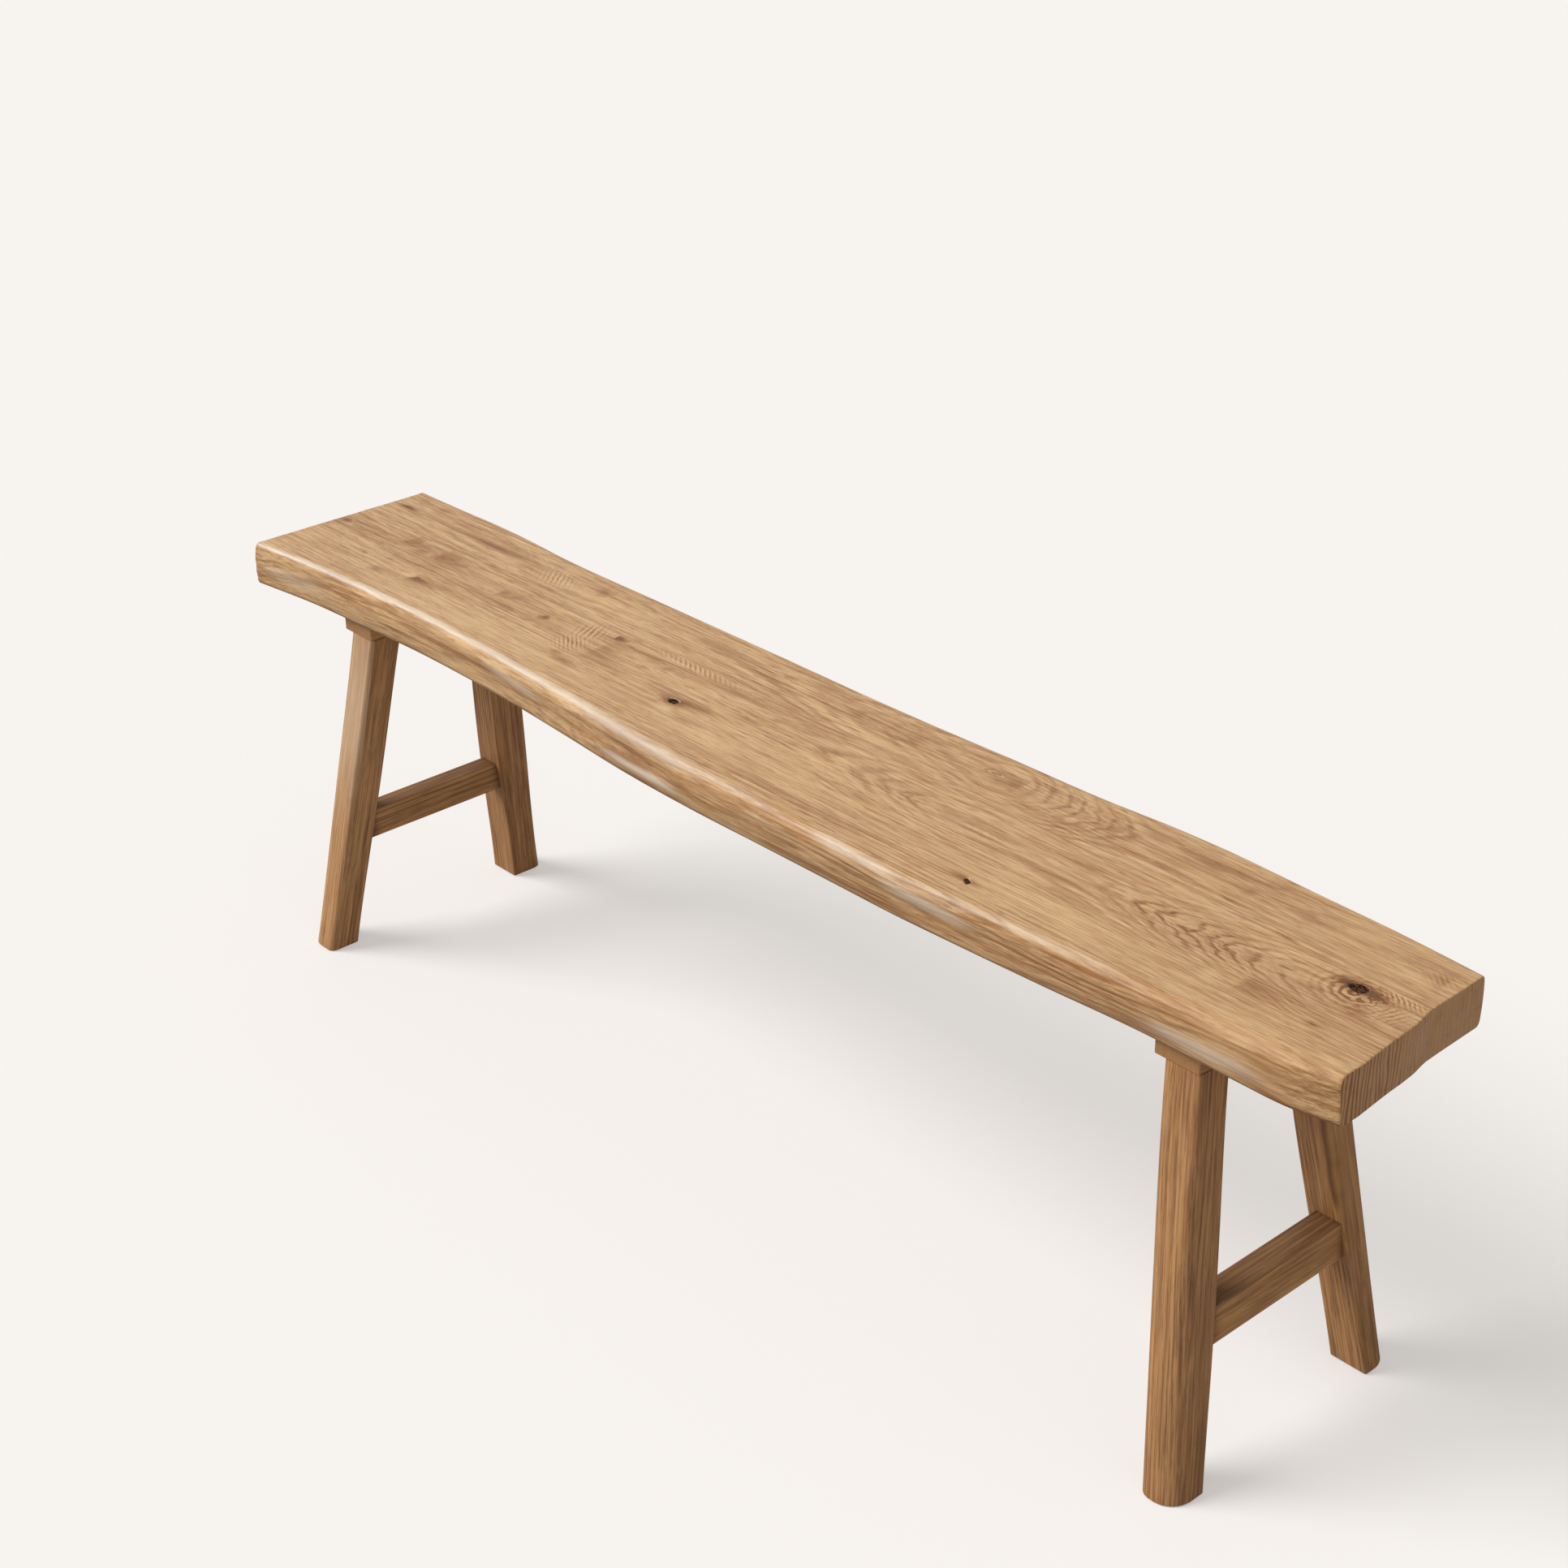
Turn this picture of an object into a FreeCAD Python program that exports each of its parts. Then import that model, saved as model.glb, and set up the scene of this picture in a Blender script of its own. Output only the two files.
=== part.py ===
"""A live edge bench: a long oak seat on two splayed end frames.

Millimetres. X runs along the seat, Y from the front to the back and Z up. The origin is on the floor,
under the middle of the bench. The front is the side with the live edge, towards -Y.
"""
import FreeCAD, Part
import math
import os

import Sketcher
from FreeCAD import Placement, Rotation, Vector

UP = Vector(0, 0, 1)
LEFT, RIGHT = -1, 1
FRONT, BACK = -1, 1
ENDS = (("left", LEFT), ("right", RIGHT))
SIDES = (("front", FRONT), ("back", BACK))

# The driving dimensions, with what each one measures.
SIZES = (
    ("seat_length", 1470, "length of the seat along its front edge"),
    ("seat_height", 450, "floor to the top of the seat"),
    ("seat_thick", 48, "thickness of both boards of the seat"),
    ("glue_line", 33, "from the middle of the bench back to the joint of the boards"),
    ("front_reach", 84, "from the middle to the innermost top line of the live edge"),
    ("front_wander", 40, "how far the live edge wanders beyond its innermost line"),
    ("front_bulge", 2, "how far the live edge swells between its top and its foot"),
    ("front_round", 12, "fullest rounding of the top of the live edge"),
    ("under_round", 5, "rounding under both long edges"),
    ("back_reach", 106, "from the middle to the innermost line of the back edge"),
    ("back_wander", 16, "how far the back edge wanders beyond its innermost line"),
    ("back_bulge", 1, "how far the back edge swells"),
    ("back_round", 4, "rounding of the top of the back edge"),
    ("end_skew", 14, "how far the saw ran off square across the right end"),
    ("dowel_diameter", 10, "diameter of the dowels in the glue joint"),
    ("dowel_length", 50, "length of those dowels"),
    ("dowel_inset", 90, "end of the seat to the middle of the first dowel"),
    ("dowel_count", 7, "number of those dowels"),
    ("dowel_ease", 1, "chamfer at the ends of a dowel"),
    ("knot_depth", 6, "depth to which a black knot is cleaned out and filled"),
    ("batten_inset", 160, "end of the seat to the middle of a batten"),
    ("batten_width", 48, "width of a batten along the seat"),
    ("batten_thick", 17, "thickness of a batten"),
    ("batten_overhang", 1, "how far a batten runs past the outer faces of its legs"),
    ("batten_ease", 1, "chamfer around the ends of a batten"),
    ("foot_kick", 52, "how far the middle of a foot stands beyond the middle of its batten"),
    ("top_spread", 53, "middle of the bench to the inner face of a leg's top"),
    ("foot_splay", 57.5, "how much further out the inner face of a foot stands"),
    ("leg_width_top", 38, "width of a leg along the seat at its top"),
    ("leg_width_foot", 41, "width of a leg along the seat at the floor"),
    ("leg_depth_top", 38, "depth of a leg across the seat at its top"),
    ("leg_depth_foot", 40, "depth of a leg across the seat at the floor"),
    ("leg_wave", 4, "how far a leg's faces stray from straight"),
    ("leg_sawn_round", 3, "rounding of a leg's two inner corners"),
    ("leg_worn_round", 10, "usual rounding of its outer corners, which grows towards the floor"),
    ("foot_ease", 1.5, "chamfer around the sole of a foot"),
    ("leg_tenon_width", 22, "width of a leg's tenon along the seat"),
    ("leg_tenon_depth", 20, "depth of a leg's tenon across the seat"),
    ("wedge_head", 3.2, "thickness of a wedge at its upper end"),
    ("wedge_tip", 1.2, "thickness of a wedge at its lower end"),
    ("wedge_height", 13, "height of a wedge"),
    ("stretcher_height", 148.5, "floor to the middle of a stretcher"),
    ("stretcher_depth", 35.5, "usual upright size of a stretcher"),
    ("stretcher_thick", 26, "usual size of a stretcher along the seat"),
    ("stretcher_shift", 2.3, "how far a stretcher stands to the right of the middle of its legs"),
    ("stretcher_round", 2, "rounding of the long edges of a stretcher"),
    ("stretcher_tenon_thick", 12, "size of a stretcher's tenon along the seat"),
    ("stretcher_tenon_depth", 22, "upright size of a stretcher's tenon"),
    ("stretcher_tenon_reach", 20, "how far a stretcher's tenon goes into a leg"),
    ("screw_length", 32, "length of a batten screw"),
    ("screw_shank", 5, "diameter of a batten screw"),
    ("screw_head", 9.4, "diameter of its countersunk head"),
    ("screw_tip", 6, "length of its point"),
    ("screw_drive", 3.5, "hexagonal drive of its head, corner to corner"),
    ("screw_drive_depth", 2.4, "depth of that drive"),
    ("screw_sink", 0.4, "how far a screw's head lies below the face of the batten"),
    ("screw_along", 12, "from the middle of a batten to a screw, along the seat"),
    ("screw_across", 36, "from the middle of a batten to a screw, across the seat"),
    ("joint_gap", 0.1, "glue gap around a tenon, dowel, wedge or knot filling"),
    ("screw_gap", 0.2, "play around a screw in its holes"),
    ("relief", 0.8, "free depth past the end of a dowel, tenon or screw"),
    ("overrun", 10, "how far a cut runs past the wood"),
)

# The live edge at stations along the seat. Each row holds the station as a share of the seat's length
# from its left end, then shares of the wander for the top line, the face and its foot, then shares
# of the bulge and of the rounding.
LIVE_EDGE_SHARES = (
    (0.000, 0.575, 0.740, 0.750, 0.3, 0.8),
    (0.065, 0.300, 0.525, 0.470, 0.6, 0.8),
    (0.119, 0.190, 0.425, 0.370, 1.0, 0.9),
    (0.187, 0.110, 0.350, 0.265, 0.8, 0.9),
    (0.241, 0.150, 0.390, 0.280, 0.3, 0.9),
    (0.296, 0.220, 0.475, 0.345, -0.4, 1.0),
    (0.364, 0.325, 0.600, 0.510, -0.6, 1.0),
    (0.432, 0.475, 0.750, 0.700, 0.2, 1.0),
    (0.500, 0.600, 0.875, 0.775, 0.8, 1.0),
    (0.568, 0.650, 0.900, 0.760, 1.0, 1.0),
    (0.636, 0.690, 0.925, 0.750, 0.6, 0.9),
    (0.684, 0.760, 0.950, 0.745, -0.3, 0.8),
    (0.731, 0.640, 0.850, 0.680, -0.5, 0.8),
    (0.799, 0.450, 0.700, 0.560, 0.4, 0.8),
    (0.867, 0.250, 0.560, 0.410, 0.9, 0.8),
    (0.935, 0.140, 0.460, 0.405, 0.6, 0.8),
    (0.968, 0.080, 0.420, 0.380, 0.4, 0.7),
    (1.000, 0.040, 0.240, 0.165, 0.2, 0.6),
)

# The back edge: the station, then shares of its wander for the top of the face and for its foot.
BACK_EDGE_SHARES = (
    (0.000, 0.330, 0.28),
    (0.050, 0.360, 0.30),
    (0.095, 0.460, 0.38),
    (0.135, 0.380, 0.32),
    (0.177, 0.150, 0.13),
    (0.296, 0.120, 0.13),
    (0.432, 0.150, 0.09),
    (0.500, 0.120, 0.06),
    (0.568, 0.200, 0.12),
    (0.636, 0.400, 0.32),
    (0.704, 0.500, 0.38),
    (0.772, 0.880, 0.65),
    (0.806, 0.925, 0.73),
    (0.867, 0.720, 0.60),
    (0.935, 0.500, 0.42),
    (1.000, 0.060, 0.05),
)

# Where the rounding of a long edge passes, as shares of its reach and of its fall.
ROUNDING_SHARES = (0.64, 0.27)

# The saw cut across the right end: shares of the back reach, then of the skew.
END_CUT_SHARES = ((-0.65, 0.0), (-0.25, 0.28), (0.10, 0.48), (0.30, 0.76), (0.55, 0.84), (1.30, 1.0))

# How a leg strays from straight: the height as a share, then shares of the wave for the inner face,
# the outer face and the sideways drift.
LEG_WAVE_SHARES = {
    "front_left": ((0.00, -0.2, -1.0, 0.2), (0.24, 0.0, -0.9, 0.2), (0.48, -0.2, -0.6, 0.2),
                   (0.74, -0.2, -0.5, 0.0), (1.00, 0.0, 0.0, 0.0)),
    "front_right": ((0.00, 0.0, 0.0, 0.0), (0.26, -0.3, 0.2, 0.0), (0.52, -0.5, 0.3, -0.1),
                    (0.76, -0.1, 0.4, -0.1), (1.00, 0.0, 0.0, 0.0)),
    "back_left": ((0.00, 0.0, -0.1, 0.0), (0.25, -0.3, -0.3, 0.0), (0.47, -0.7, 0.0, 0.1),
                  (0.72, -0.4, 0.2, 0.1), (1.00, 0.0, 0.0, 0.0)),
    "back_right": ((0.00, 0.0, -0.5, 0.0), (0.23, -0.2, -0.8, 0.0), (0.45, -0.8, -0.9, 0.0),
                   (0.70, -1.1, -0.9, 0.0), (1.00, 0.0, 0.0, 0.0)),
}

# How much a leg's outer corners are worn, as shares of the usual rounding: at the top, then at the
# foot, for the corner nearer the middle of the bench and for the one at its end.
LEG_ROUND_SHARES = {
    "front_left": (0.4, 0.4, 0.9, 2.0),
    "front_right": (0.4, 0.4, 1.4, 2.4),
    "back_left": (0.4, 0.4, 0.9, 1.9),
    "back_right": (0.4, 0.4, 0.9, 2.6),
}

# How each stretcher was sawn, as shares of the usual upright size and of the usual thickness.
STRETCHER_SHARES = {"left": (0.95, 0.91), "right": (1.13, 1.08)}

# The black knots: the middle along the seat as a share of its length, the middle forward of the glue
# line, the length and the width of the filling as shares of the front reach, and the turn in degrees.
KNOT_SHARES = {
    "large": (0.9517, 0.167, 0.238, 0.155, 4),
    "middle": (0.4231, 0.833, 0.179, 0.107, -6),
    "small": (0.7245, 1.381, 0.131, 0.060, -28),
}

doc = FreeCAD.newDocument("live_edge_bench")
sheet = doc.addObject("Spreadsheet::Sheet", "sizes")
for row, (alias, value, note) in enumerate(SIZES, start=1):
    sheet.set(f"A{row}", note)
    sheet.set(f"B{row}", str(value))
    sheet.setAlias(f"B{row}", alias)
doc.recompute()


def size(alias):
    """Read one driving dimension from the sheet."""
    return float(getattr(sheet, alias))


def bind(target, **rules):
    """Bind an object's properties to expressions on the sheet's cells."""
    for name, rule in rules.items():
        target.setExpression(name, rule)


def origin_plane(body, role):
    """Find one of a body's own origin planes."""
    return next(item for item in body.Origin.OriginFeatures if item.Role == role)


def new_body(label):
    """Add an empty body."""
    body = doc.addObject("PartDesign::Body", label)
    body.Label = label
    return body


def new_sketch(body, name, role):
    """Add a sketch on one of the body's origin planes."""
    sketch = body.newObject("Sketcher::SketchObject", name)
    sketch.AttachmentSupport = [(origin_plane(body, role), "")]
    sketch.MapMode = "FlatFace"
    return sketch


def evaluate(target, rule):
    """Work out an expression on the sheet as a plain number."""
    return float(target.evalExpression(rule))


def hold_point(sketch, line, position, place, rules):
    """Hold a sketch point at two expressions measured from the sketch's origin."""
    for kind, value, rule in zip(("DistanceX", "DistanceY"), place, rules):
        index = sketch.addConstraint(Sketcher.Constraint(kind, -1, 1, line, position, value))
        sketch.setExpression(f"Constraints[{index}]", rule)


def draw_outline(sketch, corners):
    """Draw a closed outline whose corners are pairs of expressions on the sheet."""
    places = [tuple(evaluate(sketch, rule) for rule in corner) for corner in corners]
    count = len(corners)
    for index, place in enumerate(places):
        following = places[(index + 1) % count]
        sketch.addGeometry(Part.LineSegment(Vector(*place, 0), Vector(*following, 0)), False)
    for index in range(count):
        sketch.addConstraint(Sketcher.Constraint("Coincident", index, 2, (index + 1) % count, 1))
    for index, corner in enumerate(corners):
        hold_point(sketch, index, 1, places[index], corner)


def rectangle(middle, half_across, half_up):
    """List the corners of a rectangle around a middle, all as expressions."""
    across, up = middle
    return ((f"{across} - {half_across}", f"{up} - {half_up}"),
            (f"{across} + {half_across}", f"{up} - {half_up}"),
            (f"{across} + {half_across}", f"{up} + {half_up}"),
            (f"{across} - {half_across}", f"{up} + {half_up}"))


def draw_circles(sketch, places, radius_rule):
    """Draw equal circles whose middles are pairs of expressions."""
    radius = evaluate(sketch, radius_rule)
    for index, rules in enumerate(places):
        middle = tuple(evaluate(sketch, rule) for rule in rules)
        sketch.addGeometry(Part.Circle(Vector(*middle, 0), UP, radius), False)
        hold_point(sketch, index, 3, middle, rules)
        held = sketch.addConstraint(Sketcher.Constraint("Radius", index, radius))
        sketch.setExpression(f"Constraints[{held}]", radius_rule)


def turn_profile(body, name, corners, role):
    """Turn an outline drawn beside the upright axis of a plane into a round solid."""
    profile = new_sketch(body, f"{name}_profile", role)
    draw_outline(profile, corners)
    turning = body.newObject("PartDesign::Revolution", f"{name}_turned")
    turning.Profile = profile
    turning.ReferenceAxis = (profile, ["V_Axis"])
    turning.Angle = 360
    doc.recompute()
    return turning


def pad_outline(body, name, corners, role, length, both_ways=False):
    """Draw an outline on one of the body's planes and pad it."""
    outline = new_sketch(body, f"{name}_outline", role)
    draw_outline(outline, corners)
    pad = body.newObject("PartDesign::Pad", f"{name}_padded")
    pad.Profile = outline
    pad.SideType = "Symmetric" if both_ways else "One side"
    bind(pad, Length=length)
    doc.recompute()
    return pad


def cut_outline(body, name, corners, length, before):
    """Cut an outline upwards from the body's base plane and make sure that wood comes away."""
    outline = new_sketch(body, f"{name}_outline", "XY_Plane")
    draw_outline(outline, corners)
    cut = body.newObject("PartDesign::Pocket", f"{name}_cut")
    cut.Profile = outline
    cut.Reversed = True
    bind(cut, Length=length)
    doc.recompute()
    require_less(cut, before)
    return cut


def require_less(cut, before):
    """Stop when a cut takes nothing off the feature before it."""
    if not cut.Shape.Volume < before.Shape.Volume:
        raise RuntimeError(f"{cut.Label} cuts nothing")


def solid_of(shape):
    """Return a shape's only solid, turned the right way out."""
    solid = shape.Solids[0]
    if solid.Volume < 0:
        solid.reverse()
    return solid


def add_feature(label, shape):
    """Add a finished shape as a sub-part."""
    feature = doc.addObject("Part::Feature", label)
    feature.Label = label
    feature.Shape = shape
    return feature


def add_copies(label, shape, places):
    """Add a sub-part made of separate copies of one shape."""
    return add_feature(label, Part.makeCompound([shape.translated(place) for place in places]))


def block(low, high):
    """Make a box between two corners."""
    span = high - low
    return Part.makeBox(span.x, span.y, span.z, low)


underside = size("seat_height") - size("seat_thick")
batten_foot = underside - size("batten_thick")
mid_thick = underside + size("seat_thick") / 2
left_end = -size("seat_length") / 2


def station(share):
    """Turn a share of the seat's length into a place along X."""
    return left_end + size("seat_length") * share


def edge_section(x, joint_y, top_y, face_y, foot_y, bulge, drop, foot_round):
    """Draw one upright section of a rough board, with spare wood above, below and at the joint."""
    out = 1 if top_y > joint_y else -1
    top, foot, spare = size("seat_height"), underside, size("overrun")
    face_high, face_low = top - drop, foot + foot_round
    heel_y = foot_y - out * foot_round
    reach, fall = ROUNDING_SHARES

    def at(y, z):
        return Vector(x, y, z)

    shoulder = at(top_y + (face_y - top_y) * reach, top - drop * fall)
    belly = at((face_y + foot_y) / 2 + out * bulge, (face_high + face_low) / 2)
    heel = at(heel_y + out * foot_round * reach, foot + foot_round * fall)
    high, low = at(joint_y - out * spare, top + spare), at(joint_y - out * spare, foot - spare)
    return Part.Wire([
        Part.LineSegment(high, at(top_y, top + spare)).toShape(),
        Part.LineSegment(at(top_y, top + spare), at(top_y, top)).toShape(),
        Part.Arc(at(top_y, top), shoulder, at(face_y, face_high)).toShape(),
        Part.Arc(at(face_y, face_high), belly, at(foot_y, face_low)).toShape(),
        Part.Arc(at(foot_y, face_low), heel, at(heel_y, foot)).toShape(),
        Part.LineSegment(at(heel_y, foot), at(heel_y, foot - spare)).toShape(),
        Part.LineSegment(at(heel_y, foot - spare), low).toShape(),
        Part.LineSegment(low, high).toShape(),
    ])


def plane_board(sections, out):
    """Loft a rough board, then plane its top, its underside and its glue joint flat."""
    rough = solid_of(Part.makeLoft(sections, True, False))
    edge = out * (size("back_reach") + size("front_wander") + size("overrun"))
    near, far = sorted((size("glue_line"), edge))
    slab = block(Vector(left_end - size("overrun"), near, underside),
                 Vector(station(1) + size("overrun"), far, size("seat_height")))
    return solid_of(rough.common(slab))


def front_board_blank():
    """Make the front board through the sections of its live edge."""
    sections = []
    for along, top, face, foot, bulge, rounding in LIVE_EDGE_SHARES:
        lines = [-size("front_reach") - size("front_wander") * share for share in (top, face, foot)]
        sections.append(edge_section(station(along), size("glue_line"), *lines,
                                     size("front_bulge") * bulge, size("front_round") * rounding,
                                     size("under_round")))
    return plane_board(sections, FRONT)


def back_board_blank():
    """Make the back board through the sections of its gently wavy edge."""
    sections = []
    for along, face, foot in BACK_EDGE_SHARES:
        lines = [size("back_reach") + size("back_wander") * share for share in (face, foot)]
        sections.append(edge_section(station(along), size("glue_line"), lines[0] - size("back_round"),
                                     *lines, size("back_bulge"), size("back_round"),
                                     size("under_round")))
    return plane_board(sections, BACK)


def end_cut():
    """Make the waste that the saw takes off the right end."""
    square_end = station(1)
    past = square_end + size("overrun")
    curve = Part.BSplineCurve()
    points = [Vector(square_end - size("end_skew") * skew, size("back_reach") * across, 0)
              for across, skew in END_CUT_SHARES]
    curve.interpolate(points)
    reach = size("front_reach") + size("front_wander") + size("overrun")
    start = Vector(points[0].x, -reach, 0)
    outline = [start, Vector(past, -reach, 0), Vector(past, points[-1].y, 0), points[-1]]
    edges = [Part.LineSegment(a, b).toShape() for a, b in zip(outline, outline[1:])]
    edges += [curve.toShape(), Part.LineSegment(points[0], start).toShape()]
    face = Part.Face(Part.Wire(Part.__sortEdges__(edges)))
    height = size("seat_thick") + 2 * size("overrun")
    return face.extrude(UP * height).translated(UP * (underside - size("overrun")))


def dowel_places():
    """Give the middle of each dowel in the glue joint."""
    count = int(size("dowel_count"))
    first = left_end + size("dowel_inset")
    pitch = -2 * first / (count - 1)
    return [Vector(first + pitch * index, size("glue_line"), mid_thick) for index in range(count)]


def dowel_holes():
    """Bore the glue joint for its dowels, a little deeper than they reach."""
    half = size("dowel_length") / 2 + size("relief")
    across = Vector(0, 1, 0)
    radius = size("dowel_diameter") / 2 + size("joint_gap")
    return [Part.makeCylinder(radius, 2 * half, place - across * half, across)
            for place in dowel_places()]


def batten_middle(side):
    """Give the middle of a batten's lower face."""
    return Vector(side * (size("seat_length") / 2 - size("batten_inset")), 0, batten_foot)


def screw_places(side):
    """Give the places of one batten's screws on its lower face."""
    centre = batten_middle(side).x
    return [Vector(centre + along * size("screw_along"), across * size("screw_across"), batten_foot)
            for along in (-1, 1) for across in (-1, 1)]


def screw_holes():
    """Bore the seat from below for the batten screws."""
    depth = size("screw_length") + size("screw_sink") + size("relief")
    radius = size("screw_shank") / 2 + size("screw_gap")
    return [Part.makeCylinder(radius, depth, place) for _, side in ENDS for place in screw_places(side)]


def knot_plug(label, name, gap, depth, rise):
    """Extrude a knot's oval up to the seat's top, for its filling or, with a gap, for its pocket."""
    along, forward, length, width, turn = KNOT_SHARES[name]
    oval = doc.addObject("Part::Ellipse", f"{label}_oval")
    oval.Placement = Placement(Vector(), Rotation(UP, turn))
    bind(oval, MajorRadius=f"sizes.front_reach * {length / 2} + {gap}",
         MinorRadius=f"sizes.front_reach * {width / 2} + {gap}")
    oval.setExpression("Placement.Base.x", f"sizes.seat_length * {along - 1 / 2}")
    oval.setExpression("Placement.Base.y", f"sizes.glue_line - sizes.front_reach * {forward}")
    oval.setExpression("Placement.Base.z", f"sizes.seat_height - ({depth})")
    plug = doc.addObject("Part::Extrusion", label)
    plug.Label = label
    plug.Base = oval
    plug.DirMode = "Normal"
    plug.Solid = True
    bind(plug, LengthFwd=f"{depth} + {rise}")
    doc.recompute()
    return plug


def make_seat():
    """Make the two boards of the seat and the knot fillings."""
    fillers, pockets = [], []
    for name in KNOT_SHARES:
        pocket = knot_plug(f"knot_pocket_{name}", name, "sizes.joint_gap",
                           "sizes.knot_depth + sizes.joint_gap", "sizes.overrun")
        pockets.append(pocket.Shape)
        fillers.append(knot_plug(f"knot_filler_{name}", name, "0", "sizes.knot_depth", "0"))
    cuts = [end_cut()] + dowel_holes() + screw_holes()
    front = solid_of(front_board_blank().cut(cuts + pockets))
    back = solid_of(back_board_blank().cut(cuts))
    return [add_feature("seat_front_board", front), add_feature("seat_back_board", back)] + fillers


def make_dowels():
    """Turn one dowel with eased ends and lay a copy at each place in the glue joint."""
    body = new_body("dowel")
    radius, half, ease = "sizes.dowel_diameter / 2", "sizes.dowel_length / 2", "sizes.dowel_ease"
    turn_profile(body, "dowel", (("0", f"-{half}"), (f"{radius} - {ease}", f"-{half}"),
                                 (radius, f"-{half} + {ease}"), (radius, f"{half} - {ease}"),
                                 (f"{radius} - {ease}", half), ("0", half)), "XY_Plane")
    return [add_copies("seat_joint_dowels", body.Shape, dowel_places())]


def make_screws():
    """Turn one countersunk screw and put a copy at each place under the battens."""
    body = new_body("screw")
    head, shank, length = "sizes.screw_head / 2", "sizes.screw_shank / 2", "sizes.screw_length"
    corners = (("0", "0"), (head, "0"), (shank, f"{head} - {shank}"),
               (shank, f"{length} - sizes.screw_tip"), ("0", length))
    turning = turn_profile(body, "screw", corners, "XZ_Plane")
    reach = "sizes.screw_drive / 2"
    hexagon = [(f"{reach} * cos({60 * turn})", f"{reach} * sin({60 * turn})") for turn in range(6)]
    cut_outline(body, "screw_drive", hexagon, "sizes.screw_drive_depth", turning)
    sink = UP * size("screw_sink")
    return [add_copies(f"batten_screws_{name}", body.Shape, [place + sink for place in screw_places(side)])
            for name, side in ENDS]


def leg_top_middle(side, across):
    """Give the middle of a leg's top, where its right face is flush with the batten's."""
    flush = (size("batten_width") - size("leg_width_top")) / 2
    reach = size("top_spread") + size("leg_depth_top") / 2
    return batten_middle(side) + Vector(flush, across * reach, 0)


def make_batten(name, side):
    """Make a batten with eased edges, its mortises and its countersunk screw holes."""
    body = new_body(f"batten_{name}")
    half_width = "sizes.batten_width / 2"
    half_length = "(sizes.top_spread + sizes.leg_depth_top + sizes.batten_overhang)"
    plank = pad_outline(body, f"plank_{name}", rectangle(("0", "0"), half_width, half_length),
                        "XY_Plane", "sizes.batten_thick")
    ease = body.newObject("PartDesign::Chamfer", f"plank_eased_{name}")
    low = [f"Edge{index}" for index, edge in enumerate(plank.Shape.Edges, start=1)
           if edge.BoundBox.ZMin < size("batten_ease")]
    ease.Base = (plank, low)
    bind(ease, Size="sizes.batten_ease")
    doc.recompute()

    last = ease
    flush = "(sizes.batten_width - sizes.leg_width_top) / 2"
    middle = "(sizes.top_spread + sizes.leg_depth_top / 2)"
    half_x = "(sizes.leg_tenon_width / 2 + sizes.joint_gap)"
    half_y = "(sizes.leg_tenon_depth / 2 + sizes.joint_gap)"
    for side_name, sign in (("front", "-"), ("back", "")):
        corners = rectangle((flush, f"{sign}{middle}"), half_x, half_y)
        last = cut_outline(body, f"mortise_{side_name}_{name}", corners,
                           "sizes.batten_thick + sizes.overrun", last)

    centres = new_sketch(body, f"screw_middles_{name}", "XY_Plane")
    places = [(f"{along}sizes.screw_along", f"{across}sizes.screw_across")
              for along in ("-", "") for across in ("-", "")]
    draw_circles(centres, places, "sizes.screw_shank / 2")
    holes = body.newObject("PartDesign::Hole", f"screw_holes_{name}")
    holes.Profile = centres
    doc.recompute()
    holes.DepthType = "ThroughAll"
    holes.HoleCutType = "Countersink"
    holes.HoleCutCustomValues = True
    holes.HoleCutCountersinkAngle = 90
    holes.Reversed = True
    bind(holes, Diameter="sizes.screw_shank + 2 * sizes.screw_gap",
         HoleCutDiameter="sizes.screw_head + 2 * sizes.screw_sink + 2 * sizes.screw_gap")
    doc.recompute()
    require_less(holes, last)
    body.Tip = holes
    body.Placement = Placement(batten_middle(side), Rotation())
    return body


def leg_lines(side, across, share):
    """Give a leg's two faces along the seat and two across it, at a share of its height."""
    def between(foot, top):
        return foot + (top - foot) * share

    foot = batten_middle(side).x + side * size("foot_kick")
    middle = between(foot, leg_top_middle(side, across).x)
    half = between(size("leg_width_foot"), size("leg_width_top")) / 2
    inner = between(size("top_spread") + size("foot_splay"), size("top_spread"))
    outer = inner + between(size("leg_depth_foot"), size("leg_depth_top"))
    return middle - side * half, middle + side * half, across * inner, across * outer


def leg_section(z, near, far, inner, outer, rounds):
    """Draw a leg's level section: crisp inner corners and worn outer ones, the near one first."""
    along = 1 if far > near else -1
    across = 1 if outer > inner else -1
    bow = 1 - math.sin(math.radians(45))
    corners = ((near, inner, size("leg_sawn_round"), 1, 1), (far, inner, size("leg_sawn_round"), -1, 1),
               (far, outer, rounds[1], -1, -1), (near, outer, rounds[0], 1, -1))
    arcs = []
    for index, (x, y, radius, to_x, to_y) in enumerate(corners):
        one = Vector(x, y + across * to_y * radius, z)
        two = Vector(x + along * to_x * radius, y, z)
        mid = Vector(x + along * to_x * radius * bow, y + across * to_y * radius * bow, z)
        ends = (one, mid, two) if index % 2 == 0 else (two, mid, one)
        arcs.append(ends)
    edges = []
    for index, (start, mid, end) in enumerate(arcs):
        following = arcs[(index + 1) % len(arcs)][0]
        edges.append(Part.Arc(start, mid, end).toShape())
        edges.append(Part.LineSegment(end, following).toShape())
    return Part.Wire(edges)


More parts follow.
